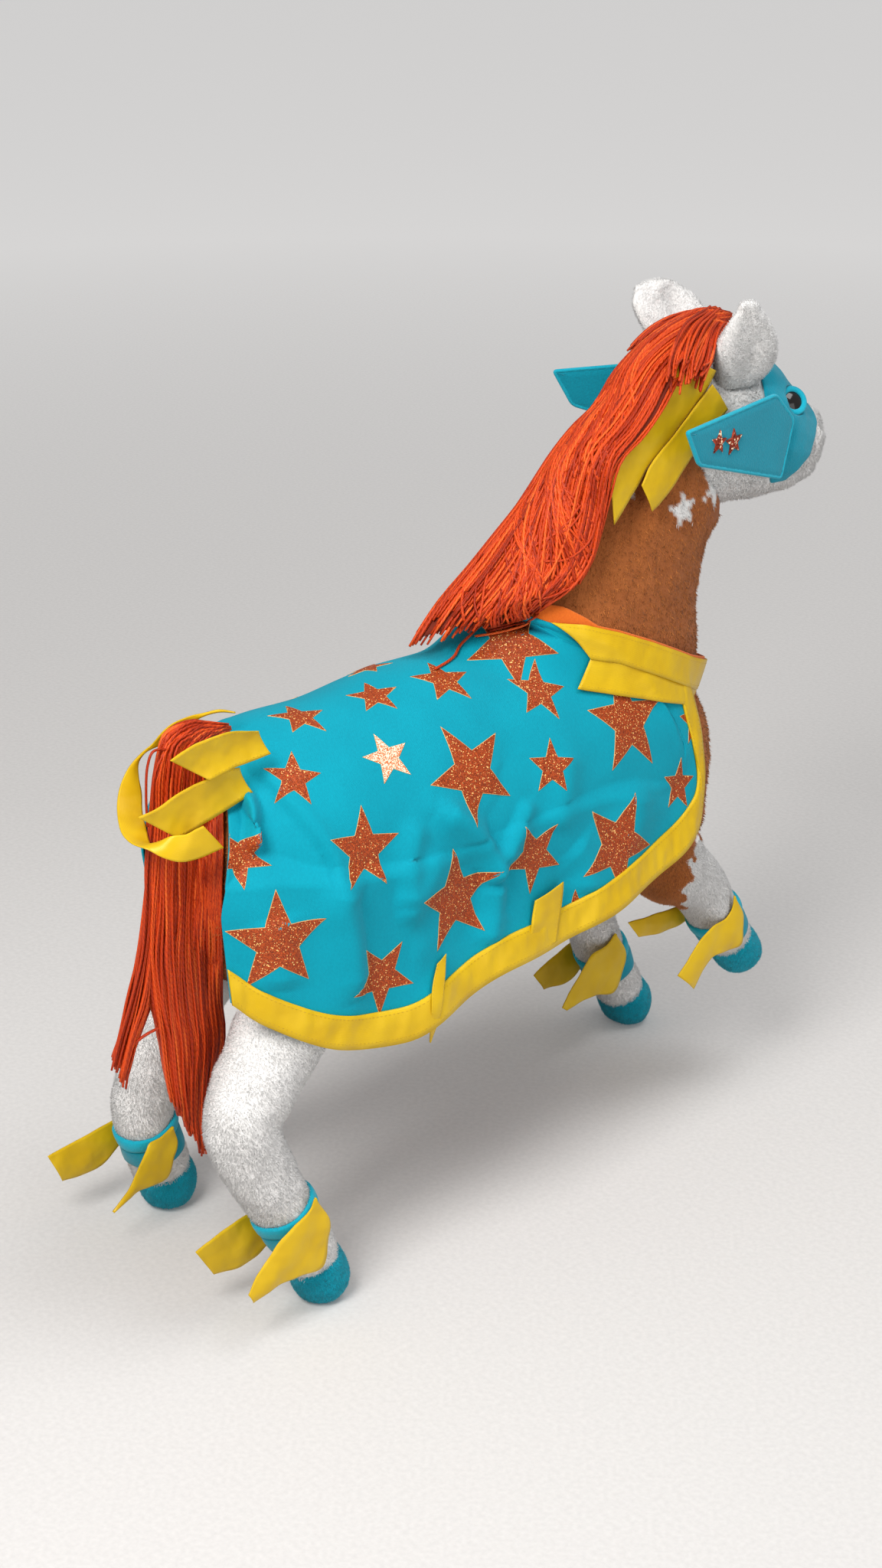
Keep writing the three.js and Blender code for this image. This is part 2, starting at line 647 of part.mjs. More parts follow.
addPiece('rug', rug, finish.turquoise);
const rugRoom = rugShell(seamGap * 2);

// Satin binding on the outside of the hem
for (const [label, side] of mirrorSides) {
  const rings = [];
  for (let c = 0; c < rugColumns; c += 1) {
    const v = c / rugColumns;
    let top = 1;
    for (let run = 0; run < bindingWidth && top > 0.2; top -= 0.01) {
      run += rugPlace(v, top, side).distanceTo(rugPlace(v, top - 0.01, side));
    }
    const low = rugThickness / 2 + seamGap * 2.7;
    const rows = [1 - 1 / rugHalfRows, 1 - 2 / rugHalfRows];
    const upper = rows[0] > top + 0.02 ? rows[0] : (1 + top) / 2;
    const lower = rows[1] > top + 0.02 ? rows[1] : (upper + top) / 2;
    const levels = [1, upper, lower, top];
    const near = levels.map((u) => rugOffset(v, u, side, low));
    const far = levels.map((u) => rugOffset(v, u, side, low + bindingThickness));
    rings.push([...near, ...far.reverse()]);
  }
  addPiece(`binding_${label}`, trimmed(ringStack(rings), [neckForm(collarStack), ...legsClear]), finish.yellow);
}

// Ribbons that hang from the hem on each side
const girthShares = [['rear', 0.32, 0.58, 0.86], ['front', 0.49, 1.06, 0.84]];
for (const [sideLabel, side] of mirrorSides) {
  for (const [label, v, width, top] of girthShares) {
    const lift = rugThickness / 2 + seamGap * 3.2 + bindingThickness + ribbonThickness / 2;
    const upper = rugOffset(v, top, side, lift);
    const hem = rugOffset(v, 1, side, lift);
    const down = hem.clone().sub(upper);
    const free = hem.clone().addScaledVector(down, 0.75);
    free.x = hem.x + side * ribbonThickness;
    const half = point(0, legRibbonWidth * width * 0.5, 0);
    const middle = upper.clone().lerp(hem, 0.5);
    middle.x = (upper.x + hem.x) / 2 + side * seamGap;
    const stations = [upper, middle, hem, free].map((p) => ({ middle: p, half }));
    addPiece(`girth_ribbon_${label}_${sideLabel}`, trimmed(strip(stations, ribbonThickness), [
      solidGeometry(`binding_${sideLabel}`), rugShell(seamGap / 2),
    ]), finish.yellow);
  }
}

// Collar: an orange lining round the neck with two satin bands outside it
const collarNormal = point(0, -Math.sin(collarTilt), Math.cos(collarTilt));
const collarCentre = point(0, -0.8 * headReach, 0.795 * headHeight);
const collarReach = headHeight;
const liningWidth = collarWidth * 2 + seamGap + collarWidth * 0.2;
addPiece('collar_lining', trimmed(neckForm(seamGap + liningThickness), [neckForm(seamGap), torsoForm(seamGap)],
  [slab(collarCentre.clone().addScaledVector(collarNormal, collarWidth * 0.1), collarNormal, liningWidth, collarReach)]),
finish.orange);
const withersCut = new THREE.BoxGeometry(barrelWidth, headReach, headHeight);
withersCut.translate(0, -0.6 * headReach + headReach / 2, headHeight);
[['collar_band_upper', 0.5], ['collar_band_lower', -0.5]].forEach(([name, place]) => {
  const centre = collarCentre.clone().addScaledVector(collarNormal, place * (collarWidth + seamGap));
  const inner = seamGap + liningThickness + seamGap;
  const outer = inner + collarThickness;
  const tools = [neckForm(inner), withersCut, torsoForm(seamGap)];
  addPiece(name, trimmed(neckForm(outer), tools, [slab(centre, collarNormal, collarWidth, collarReach)]), finish.yellow);
});

// Mane: yarn sewn along the crest, falling to the right. Places along and up, half width, half depth, and lean.
const maneShares = [
  [-0.39, 0.9, 0.12, 0.05, -0.067], [-0.462, 0.94, 0.173, 0.067, -0.08], [-0.556, 0.988, 0.187, 0.073, -0.093],
  [-0.665, 1.057, 0.187, 0.073, -0.093], [-0.774, 1.157, 0.187, 0.073, -0.093], [-0.857, 1.216, 0.18, 0.073, -0.08],
  [-0.915, 1.262, 0.17, 0.07, -0.06], [-0.94, 1.3, 0.14, 0.06, -0.04],
];
const maneStations = maneShares.map(([along, height, width, depth, lean]) => ({
  middle: point(lean * barrelWidth, along * headReach, height * headHeight),
  width: width * barrelWidth,
  depth: depth * barrelWidth,
  dome: barrelWidth * 0.07,
}));
const maneForm = (grow) => stuffedForm(maneStations, { sides: 12, steps: 10, domes: 2, grow });
addPiece('mane', trimmed(maneForm(0), [
  neckForm(collarStack), torsoForm(rugRise + rugThickness + seamGap * 2), headRoom,
]), finish.yarn);

// Satin ribbons that fall from the mane over the right side of the neck
const maneRibbonShares = [
  ['rear', [[-0.29, -0.885, 1.275], [-0.29, -0.82, 1.2], [-0.285, -0.76, 1.13], [-0.275, -0.735, 1.08]]],
  ['front', [[-0.275, -0.945, 1.215], [-0.268, -0.89, 1.155], [-0.258, -0.83, 1.1], [-0.245, -0.79, 1.06]]],
];
for (const [label, path] of maneRibbonShares) {
  const stations = path.map(([across, along, height], i) => {
    const [a, b] = [path[Math.max(i - 1, 0)], path[Math.min(i + 1, path.length - 1)]];
    const run = point(0, (b[1] - a[1]) * headReach, (b[2] - a[2]) * headHeight).normalize();
    const half = new THREE.Vector3().crossVectors(X, run).multiplyScalar(maneRibbonWidth / 2);
    return { middle: point(across * barrelWidth, along * headReach, height * headHeight), half };
  });
  addPiece(`mane_ribbon_${label}`,
    trimmed(strip(stations, ribbonThickness), [maneForm(seamGap), neckForm(seamGap)]), finish.yellow);
}

// Tail: a yarn bundle from the top of the rump, with a satin ribbon looped round it and two strips beside it
const tailShares = [
  [-0.08, 0.03, 1.018, 0.06, 0.016], [-0.09, 0.07, 0.985, 0.13, 0.021], [-0.11, 0.1, 0.925, 0.16, 0.023],
  [-0.13, 0.112, 0.83, 0.173, 0.024], [-0.125, 0.115, 0.7, 0.185, 0.028], [-0.07, 0.112, 0.58, 0.225, 0.034],
  [-0.01, 0.11, 0.48, 0.235, 0.036], [-0.07, 0.108, 0.39, 0.15, 0.03], [-0.13, 0.105, 0.31, 0.07, 0.02],
];
const tailStations = tailShares.map(([across, along, height, width, depth]) => ({
  middle: point(across * barrelWidth, along * bodyLength, height * backHeight),
  width: width * barrelWidth,
  depth: depth * bodyLength,
  dome: barrelWidth * 0.06,
}));
const tailForm = (grow) => stuffedForm(tailStations, { sides: 12, steps: 11, domes: 2, grow });
const tailHinge = point(tailStations[0].middle.x, tailStations[0].middle.y - tailRibbonWidth * 0.19, tailStations[0].middle.z);
// The bow's strips lie beside the top of the tail, which lifts past them
const stripInner = -0.188 * barrelWidth;
const stripReach = tailRibbonWidth * 2.7;
const stripRoom = new THREE.CylinderGeometry(stripReach, stripReach, barrelWidth, 32);
stripRoom.rotateZ(Math.PI / 2);
stripRoom.translate(stripInner - barrelWidth / 2, tailHinge.y, tailHinge.z);
addPiece('tail', trimmed(tailForm(0), [
  torsoForm(turnGap), rugRoom, stripRoom, ...legSweep(legs.hind_right, seamGap * 2),
]), finish.yarn);

const loopShares = [
  [-0.1, 0.045, 1.06], [0.05, 0.07, 1.045], [0.14, 0.1, 1.0], [0.1, 0.14, 0.95], [-0.06, 0.155, 0.9],
  [-0.2, 0.145, 0.855], [-0.29, 0.11, 0.82], [-0.32, 0.075, 0.815],
];
const loopStations = loopShares.map(([across, along, height]) => ({
  middle: point(across * barrelWidth, along * bodyLength, height * backHeight),
  half: point(0, 0, tailRibbonWidth / 2),
}));
loopStations[0].half = point(tailRibbonWidth / 2, 0, 0);
loopStations[1].half = point(tailRibbonWidth * 0.35, 0, tailRibbonWidth * 0.35);
addPiece('tail_ribbon_loop', trimmed(strip(loopStations, ribbonThickness), [
  tailForm(seamGap), torsoForm(turnGap), rugRoom,
]), finish.yellow);
const bowShares = [
  ['upper', [[-0.2, -0.02, 1.0], [-0.205, 0.03, 0.99], [-0.215, 0.1, 0.985]]],
  ['lower', [[-0.23, 0.01, 0.945], [-0.225, 0.07, 0.93], [-0.235, 0.14, 0.91]]],
];
for (const [label, path] of bowShares) {
  const stations = path.map(([across, along, height]) => ({
    middle: point(across * barrelWidth, along * bodyLength, height * backHeight),
    half: point(0, -tailRibbonWidth * 0.22, tailRibbonWidth * 0.45),
  }));
  addPiece(`tail_ribbon_${label}`, trimmed(strip(stations, ribbonThickness), [
    torsoForm(seamGap), rugRoom, tailForm(turnGap),
  ]), finish.yellow);
}

// Head, in its own frame: across to its left, forward, and up from the joint
const headFrame = new THREE.Matrix4().makeBasis(
  point(Math.cos(headTurn), -Math.sin(headTurn), 0),
  point(-Math.sin(headTurn), -Math.cos(headTurn), 0),
  Z);
headFrame.setPosition(axis.x, axis.y, headHeight);
const headPoint = (across, forward, up) => point(across, forward, up).applyMatrix4(headFrame);
const headAcross = point(1, 0, 0).transformDirection(headFrame);
const headForward = point(0, 1, 0).transformDirection(headFrame);

// Stations of the head: forward, up, half width and half depth
const headShares = [
  [0.0, 0.525, 0.5, 0.5], [0.17, 0.525, 0.5, 0.495], [0.36, 0.465, 0.487, 0.45],
  [0.54, 0.4, 0.465, 0.37], [0.7, 0.36, 0.4, 0.295], [0.8, 0.345, 0.33, 0.23],
];
const headStations = headShares.map(([forward, up, width, depth]) => ({
  middle: headPoint(0, forward * headLength, up * headDepth),
  width: width * headWidth,
  depth: depth * headDepth,
  dome: headLength * 0.18,
}));
headStations[0].dome = skullRadius;
const headForm = (grow) => stuffedForm(headStations, {
  sides: 20, steps: 8, domes: 3, grow, across: headAcross, power: 0.6,
});
addPiece('head', trimmed(headForm(0), [neckPad]), finish.white);

// Ears: cupped, standing out and back
const earShares = [[0.36, 0.19, 0.84, 0.13, 0.075], [0.45, 0.2, 0.98, 0.19, 0.075], [0.53, 0.17, 1.12, 0.18, 0.06],
  [0.6, 0.12, 1.25, 0.11, 0.045]];
for (const [label, side] of mirrorSides) {
  const stations = earShares.map(([across, forward, up, width, depth]) => ({
    middle: headPoint(side * across * headWidth, forward * headLength, up * headDepth),
    width: width * headLength,
    depth: depth * headLength,
    dome: headLength * 0.07,
  }));
  const form = stuffedForm(stations, { sides: 10, steps: 5, domes: 2, across: headForward });
  addPiece(`ear_${label}`, trimmed(form, [headForm(seamGap)]), finish.white);
}

// Forelock: yarn over the poll between the ears
const forelockShares = [[-0.3, 0.92, 0.22, 0.1], [-0.12, 1.02, 0.26, 0.11], [0.08, 1.07, 0.25, 0.11],
  [0.22, 1.05, 0.18, 0.1]];
const forelockStations = forelockShares.map(([forward, up, width, depth]) => ({
  middle: headPoint(0, forward * headLength, up * headDepth),
  width: width * headWidth,
  depth: depth * headDepth,
  dome: headLength * 0.06,
}));
addPiece('forelock', trimmed(
  stuffedForm(forelockStations, { sides: 12, steps: 6, domes: 2, across: headAcross }), [headForm(seamGap)],
), finish.yarn);

// Mask over the face, with a round hole at each eye
const maskShares = [
  [0.38, 1.1], [0.36, 0.75], [0.36, 0.36], [0.45, 0.2], [0.57, 0.2], [0.74, 0.33], [0.86, 0.5], [0.89, 0.62],
  [0.8, 1.1],
];
const maskOutline = new THREE.Shape(maskShares.map(([forward, up]) => (
  new THREE.Vector2(forward * headLength, up * headDepth))));
const maskRegion = new THREE.ExtrudeGeometry(maskOutline, { depth: headWidth * 2, bevelEnabled: false });
maskRegion.translate(0, 0, -headWidth);
maskRegion.applyMatrix4(new THREE.Matrix4().makeBasis(Y, Z, X));
maskRegion.applyMatrix4(headFrame);
const ball = (centre, radius, around, rings) => {
  const geometry = new THREE.SphereGeometry(radius, around, rings);
  geometry.translate(centre.x, centre.y, centre.z);
  return geometry;
};
const eyeShares = [0.33, 0.63, 0.66];
const eyeCentre = (side) => headPoint(
  side * eyeShares[0] * headWidth, eyeShares[1] * headLength, eyeShares[2] * headDepth);
const maskInner = seamGap;
const maskOuter = maskInner + maskThickness;
addPiece('mask', trimmed(headForm(maskOuter), [
  headForm(maskInner), ball(eyeCentre(-1), eyeHoleRadius, 14, 8), ball(eyeCentre(1), eyeHoleRadius, 14, 8),
], [maskRegion]), finish.turquoise);
for (const [label, side] of mirrorSides) {
  addPiece(`eye_${label}`, trimmed(ball(eyeCentre(side), eyeRadius, 12, 8), [headForm(seamGap)]), finish.eye);
}

// Side flaps: stiff felt panels hinged along their front corner. Places along the panel and up from the joint.
const flapShares = [[0, 0.6], [0.185, 0.785], [1, 0.735], [0.88, 0.51], [0.1, 0.255]];
const flapHinge = [0.506, 0.545]; // across and forward shares of the head's width and length
const flapOutline = flapShares.map(([along, up]) => new THREE.Vector2(along * flapLength, up * headDepth));
function roundedShape(corners, radius) {
  const shape = new THREE.Shape();
  corners.forEach((corner, i) => {
    const before = corners[(i + corners.length - 1) % corners.length];
    const after = corners[(i + 1) % corners.length];
    const from = corner.clone().add(before.clone().sub(corner).setLength(radius));
    const to = corner.clone().add(after.clone().sub(corner).setLength(radius));
    if (i === 0) shape.moveTo(from.x, from.y);
    else shape.lineTo(from.x, from.y);
    shape.quadraticCurveTo(corner.x, corner.y, to.x, to.y);
  });
  shape.closePath();
  return shape;
}
function starShape(radius, inner) {
  const corners = Array.from({ length: 10 }, (_, i) => {
    const r = i % 2 ? radius * inner : radius;
    const angle = Math.PI / 2 + (Math.PI * i) / 5;
    return new THREE.Vector2(r * Math.cos(angle), r * Math.sin(angle));
  });
  return new THREE.Shape(corners);
}
const gemShares = [['rear', 0.72, 0.615], ['front', 0.585, 0.59]];
for (const [label, side] of mirrorSides) {
  const hinge = headPoint(side * flapHinge[0] * headWidth, flapHinge[1] * headLength, 0);
  const back = headForward.clone().multiplyScalar(-Math.cos(flapSlope))
    .addScaledVector(headAcross, side * Math.sin(flapSlope));
  const out = new THREE.Vector3().crossVectors(back, Z).normalize();
  if (out.dot(headAcross) * side < 0) out.negate();
  const place = new THREE.Matrix4().makeBasis(back, Z, new THREE.Vector3().crossVectors(back, Z));
  place.setPosition(hinge);
  const mirror = out.dot(new THREE.Vector3().crossVectors(back, Z)) > 0 ? 1 : -1;
  const bevel = flapThickness * 0.22;
  const panel = new THREE.ExtrudeGeometry(roundedShape(flapOutline, flapCorner), {
    depth: flapThickness - bevel * 2, bevelEnabled: true, bevelThickness: bevel, bevelSize: bevel, bevelOffset: -bevel,
    bevelSegments: 1, curveSegments: 3,
  });
  panel.translate(0, 0, bevel - flapThickness / 2);
  panel.applyMatrix4(place);
  addPiece(`flap_${label}`, geometryOf(solidOf(panel)), finish.turquoise);
  for (const [gem, along, up] of gemShares) {
    const star = new THREE.ExtrudeGeometry(starShape(gemRadius, 0.42), { depth: gemThickness, bevelEnabled: false });
    const lift = flapThickness / 2 + seamGap;
    star.translate(along * flapLength, up * headDepth, mirror > 0 ? lift : -lift - gemThickness);
    star.applyMatrix4(place);
    addPiece(`star_${gem}_${label}`, geometryOf(solidOf(star)), finish.gem);
  }
}

// The origin is on the floor under the middle of the whole toy
const whole = new THREE.Box3().setFromObject(horse);
const centre = whole.getCenter(new THREE.Vector3());
horse.position.set(-centre.x, -centre.y, -whole.min.z);

export default horse;
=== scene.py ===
import math
import bmesh
import bpy
import numpy as np
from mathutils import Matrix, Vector
from mathutils.bvhtree import BVHTree


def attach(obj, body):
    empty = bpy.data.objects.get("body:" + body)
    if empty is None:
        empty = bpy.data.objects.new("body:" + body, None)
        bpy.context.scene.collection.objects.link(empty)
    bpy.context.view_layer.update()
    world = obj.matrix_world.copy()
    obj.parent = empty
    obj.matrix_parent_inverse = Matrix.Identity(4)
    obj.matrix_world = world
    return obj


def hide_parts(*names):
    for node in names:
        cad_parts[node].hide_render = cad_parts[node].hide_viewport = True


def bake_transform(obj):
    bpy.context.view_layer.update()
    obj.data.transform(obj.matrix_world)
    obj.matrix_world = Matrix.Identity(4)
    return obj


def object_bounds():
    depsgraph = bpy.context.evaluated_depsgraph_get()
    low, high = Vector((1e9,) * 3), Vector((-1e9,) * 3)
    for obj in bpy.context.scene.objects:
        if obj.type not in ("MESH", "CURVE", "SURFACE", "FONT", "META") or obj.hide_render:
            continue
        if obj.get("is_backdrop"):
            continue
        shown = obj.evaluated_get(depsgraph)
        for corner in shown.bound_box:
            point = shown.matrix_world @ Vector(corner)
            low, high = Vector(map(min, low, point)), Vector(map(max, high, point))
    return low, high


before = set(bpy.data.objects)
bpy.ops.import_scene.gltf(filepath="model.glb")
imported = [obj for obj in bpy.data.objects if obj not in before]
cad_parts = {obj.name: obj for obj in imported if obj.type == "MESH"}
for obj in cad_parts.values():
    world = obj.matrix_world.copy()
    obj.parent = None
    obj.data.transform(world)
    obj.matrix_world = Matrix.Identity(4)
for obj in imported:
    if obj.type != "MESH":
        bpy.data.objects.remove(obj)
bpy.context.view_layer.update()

# Places are worked out in millimetres from the hind hooves, as the horse was measured, and moved to the row frame
SHIFT = np.array([1.01, 204.47, 0.0])
# The width of the barrel, the length and height of the back, the reach of the neck, and the measures of the head
BARREL, LENGTH, BACK = 150.0, 440.0, 350.0
REACH, HEAD_HEIGHT, HEAD_LENGTH, HEAD_WIDTH, HEAD_DEPTH = 385.0, 402.0, 104.0, 84.0, 112.0
HEAD_TURN = math.radians(15)
RUG_THICK = 2.4
UP = np.array([0, 0, 1.0])


def metres(points):
    """Places of the row frame in metres, from millimetres from the hind hooves."""
    return (np.asarray(points, float) + SHIFT) * 0.001


def mm_of(points):
    """The way back: millimetres from the hind hooves, from metres of the row frame."""
    return np.asarray(points, float) * 1000 - SHIFT


def unit(v):
    v = np.asarray(v, float)
    return v / np.maximum(np.linalg.norm(v, axis=-1, keepdims=True), 1e-12)


def spline(points, kind="centripetal"):
    """A smooth line through points, as a function of 0 to 1."""
    P = np.asarray(points, float)
    P = np.vstack([2 * P[0] - P[1], P, 2 * P[-1] - P[-2]])

    def at(t):
        t = np.clip(np.asarray(t, float), 0, 1) * (len(P) - 3)
        i = np.minimum(t.astype(int), len(P) - 4)
        w = (t - i)[..., None]
        p0, p1, p2, p3 = P[i], P[i + 1], P[i + 2], P[i + 3]
        if kind == "centripetal":
            gap = lambda a, b: np.maximum(np.linalg.norm(a - b, axis=-1, keepdims=True) ** 0.5, 1e-4)
            a, b, c = gap(p0, p1), gap(p1, p2), gap(p2, p3)
            m1 = ((p1 - p0) / a - (p2 - p0) / (a + b) + (p2 - p1) / b) * b
            m2 = ((p2 - p1) / b - (p3 - p1) / (b + c) + (p3 - p2) / c) * b
        else:
            m1, m2 = 0.5 * (p2 - p0), 0.5 * (p3 - p1)
        return p1 + m1 * w + (3 * (p2 - p1) - 2 * m1 - m2) * w ** 2 + (2 * (p1 - p2) + m1 + m2) * w ** 3
    return at


def along_of(line, t):
    return unit(line(np.clip(t + 1e-3, 0, 1)) - line(np.clip(t - 1e-3, 0, 1)))


def run_of(points):
    """How far along a line of points each of them is."""
    return np.concatenate([[0], np.cumsum(np.linalg.norm(np.diff(points, axis=0), axis=1))])


def between(table, i, j):
    """Values of a grid at places between its rows and columns."""
    i, j = np.clip(i, 0, table.shape[0] - 1.001), np.clip(j, 0, table.shape[1] - 1.001)
    i0, j0 = i.astype(int), j.astype(int)
    a, b = i - i0, j - j0
    if table.ndim == 3:
        a, b = a[..., None], b[..., None]
    return ((1 - a) * (1 - b) * table[i0, j0] + a * (1 - b) * table[i0 + 1, j0] + (1 - a) * b * table[i0, j0 + 1]
            + a * b * table[i0 + 1, j0 + 1])


# The camera of the photo, found from the horse's measures, in millimetres from the hind hooves and in pixels
CAMERA = np.array([-1185.2, 893.6, 945.1])
LOOK, ASIDE, UPWARD = unit([[0.6841, -0.6159, -0.3907], [-0.6691, -0.7431, 0.0], [0.2903, -0.2614, 0.9205]])
FOCUS, MIDDLE = 3600.0, (576.0, 1024.0)


def sight(pixels):
    """The directions from the camera through pixels of the photo."""
    p = np.asarray(pixels, float)
    return unit(LOOK * FOCUS + (p[..., :1] - MIDDLE[0]) * ASIDE - (p[..., 1:] - MIDDLE[1]) * UPWARD)


def seen(pixels, x):
    """The places at x, in mm, that the photo shows at pixels."""
    d = sight(pixels)
    return CAMERA + d * ((np.broadcast_to(x, d.shape[:-1])[..., None] - CAMERA[0]) / d[..., :1])


def met(tree, way):
    """The place in mm where the camera's sight that way meets a surface, or None."""
    hit = tree.ray_cast(Vector(metres(CAMERA)), Vector(way))[0]
    return None if hit is None else mm_of(hit)


def in_front(places, tree, lift):
    """The same places, but those behind a surface come before it, lifted in mm."""
    made = np.array(places, float)
    for i, p in enumerate(made):
        d = unit(p - CAMERA)
        hit = met(tree, d)
        if hit is not None:
            far = np.linalg.norm(hit - CAMERA) - lift
            if far < np.linalg.norm(p - CAMERA):
                made[i] = CAMERA + d * far
    return made


def resting(pixels, x, trees, lift):
    """The places that the photo shows at pixels, on the first surface there. Past its edge the distance stays."""
    made = seen(pixels, x)
    way = unit(made - CAMERA)
    far = np.full(len(made), np.nan)
    for i, d in enumerate(way):
        hits = [met(tree, d) for tree in trees]
        far[i] = min([np.linalg.norm(hit - CAMERA) for hit in hits if hit is not None], default=np.nan)
    found = np.flatnonzero(~np.isnan(far))
    if len(found) == 0:
        return made
    return CAMERA + way * (np.interp(np.arange(len(far)), found, far[found]) - lift)[:, None]


def laid(pixels, x, tree, lift):
    """The places that the photo shows at pixels, at x or on the surface where that is nearer."""
    return in_front(seen(pixels, x), tree, lift)


# Meshes

def mesh_object(name, points, faces, smooth=True):
    """faces is an array of triangles or of quads, or a list of both."""
    sets = [np.asarray(f, np.int64) for f in (faces if isinstance(faces, list) else [faces]) if len(f)]
    points = np.asarray(points, np.float32)
    mesh = bpy.data.meshes.new(name)
    loops = np.concatenate([f.ravel() for f in sets])
    totals = np.concatenate([np.full(len(f), f.shape[1]) for f in sets])
    mesh.vertices.add(len(points))
    mesh.vertices.foreach_set("co", points.ravel())
    mesh.loops.add(len(loops))
    mesh.loops.foreach_set("vertex_index", loops.astype(np.int32))
    mesh.polygons.add(len(totals))
    mesh.polygons.foreach_set("loop_start", np.concatenate([[0], np.cumsum(totals)[:-1]]).astype(np.int32))
    mesh.update(calc_edges=True)
    mesh.validate()
    if smooth:
        mesh.polygons.foreach_set("use_smooth", np.ones(len(mesh.polygons), bool))
    obj = bpy.data.objects.new(name, mesh)
    bpy.context.scene.collection.objects.link(obj)
    return obj


def closed_object(name, points, faces, smooth=True):
    """A closed mesh, with its faces turned to face out."""
    obj = mesh_object(name, points, faces, smooth)
    bm = bmesh.new()
    bm.from_mesh(obj.data)
    bmesh.ops.recalc_face_normals(bm, faces=bm.faces)
    bm.to_mesh(obj.data)
    bm.free()
    obj.data.update()
    return obj


def vertex_values(obj, kind):
    made = np.zeros(len(obj.data.vertices) * 3, np.float32)
    obj.data.vertices.foreach_get(kind, made)
    return made.reshape(-1, 3).astype(float)


def points_of(obj):
    return vertex_values(obj, "co")


def normals_of(obj):
    return vertex_values(obj, "normal")


def move_points(obj, co):
    obj.data.vertices.foreach_set("co", np.asarray(co, np.float32).ravel())
    obj.data.update()


def triangles_of(obj):
    obj.data.calc_loop_triangles()
    tri = np.zeros(len(obj.data.loop_triangles) * 3, np.int32)
    obj.data.loop_triangles.foreach_get("vertices", tri)
    return tri.reshape(-1, 3)


def face_middles(obj):
    co = points_of(obj)
    return np.array([np.mean(co[list(p.vertices)], axis=0) for p in obj.data.polygons])


def give_second(obj, faces):
    """The second material to the faces that are marked, and the first to the others."""
    obj.data.polygons.foreach_set("material_index", np.asarray(faces).astype(np.int32))


def remeshed(obj, voxel, smooth):
    """The object with an even mesh of small faces, smoothed."""
    cells = obj.modifiers.new("voxels", "REMESH")
    cells.mode, cells.voxel_size = "VOXEL", voxel
    even = obj.modifiers.new("even", "SMOOTH")
    even.iterations, even.factor = smooth, 0.5
    mesh = bpy.data.meshes.new_from_object(obj.evaluated_get(bpy.context.evaluated_depsgraph_get()))
    old = obj.data
    obj.modifiers.clear()
    obj.data = mesh
    bpy.data.meshes.remove(old)
    mesh.polygons.foreach_set("use_smooth", np.ones(len(mesh.polygons), bool))


def joined(name, parts):
    """One object from several, in place of them."""
    points, sets, base = [], {3: [], 4: []}, 0
    for o in parts:
        co = points_of(o)
        for poly in o.data.polygons:
            v = [i + base for i in poly.vertices]
            if len(v) in sets:
                sets[len(v)].append(v)
        points.append(co)
        base += len(co)
    made = mesh_object(name, np.vstack(points), [np.array(s) for s in sets.values() if s])
    for o in parts:
        bpy.data.objects.remove(o)
    return made


def tree_of(obj):
    return BVHTree.FromPolygons([Vector(p) for p in points_of(obj)], triangles_of(obj).tolist())


def grid_faces(rows, columns, base=0, around=False):
    r, c = np.meshgrid(np.arange(rows - 1), np.arange(columns - (0 if around else 1)), indexing="ij")
    d = (c + 1) % columns
    return (np.stack([r * columns + c, r * columns + d, (r + 1) * columns + d, (r + 1) * columns + c], -1)
            .reshape(-1, 4) + base)


def tube_faces(rows, count):
    """Faces of a tube of rings, closed by two middle points that come after them."""
    i = np.arange(count)
    j = (i + 1) % count
    last, middle = (rows - 1) * count, rows * count
    tris = [np.c_[j, i, np.full(count, middle)], np.c_[last + i, last + j, np.full(count, middle + 1)]]
    return [grid_faces(rows, count, around=True), np.vstack(tris)]


def closed_tube(rings):
    rings = np.asarray(rings)
    points = np.vstack([rings.reshape(-1, 3), rings[0].mean(0), rings[-1].mean(0)])
    return points, tube_faces(*rings.shape[:2])


def stuffed(stations, sides, steps, domes, across=(1, 0, 0), power=1.0):
    """A stuffed form: stations are x, y, z, half width, half depth, dome, in millimetres. Returns points and faces."""
    S = np.asarray(stations, float)
    line = spline(S[:, :3])
    size = spline(np.c_[S[:, 3:5], np.zeros(len(S))], "uniform")
    across = np.asarray(across, float)
    angle = 2 * np.pi * np.arange(sides) / sides

    def ring(middle, along, w, d):
        up = unit(np.cross(across, along))
        return middle + np.outer(np.cos(angle) * w, across) + np.outer(np.sin(angle) * d, up)

    def dome(t, length, sign):
        middle, along, half = line(t), along_of(line, np.array(t)), size(t)
        rings = []
        for k in range(1, domes + 1):
            a = (np.pi / 2) * (k / (domes + 0.35))
            out = middle + along * sign * length * math.sin(a)
            rings.append(ring(out, along, half[0] * math.cos(a), half[1] * math.cos(a) ** power))
        return rings

    rings = dome(0.0, S[0, 5], -1)[::-1]
    for k in range(steps + 1):
        t = k / steps
        rings.append(ring(line(t), along_of(line, np.array(t)), *size(t)[:2]))
    rings += dome(1.0, S[-1, 5], 1)
    return closed_tube(rings)


def stuffed_object(name, *args):
    points, faces = stuffed(*args)
    return closed_object(name, metres(points), faces)


def shell(outer, inner, around=False):
    """A closed sheet from two grids of points, rows by columns."""
    rows, columns = outer.shape[:2]
    n = rows * columns
    front = grid_faces(rows, columns, 0, around)
    back = grid_faces(rows, columns, n, around)[:, ::-1]
    c = np.arange(columns - (0 if around else 1))
    d, last = (c + 1) % columns, (rows - 1) * columns
    edge = [np.c_[d, c, c + n, d + n], np.c_[last + c, last + d, last + d + n, last + c + n]]
    if not around:
        r = np.arange(rows - 1) * columns
        e = r + columns - 1
        edge += [np.c_[r, r + columns, r + columns + n, r + n], np.c_[e + columns, e, e + n, e + columns + n]]
    return np.vstack([outer.reshape(-1, 3), inner.reshape(-1, 3)]), np.vstack([front, back] + edge)


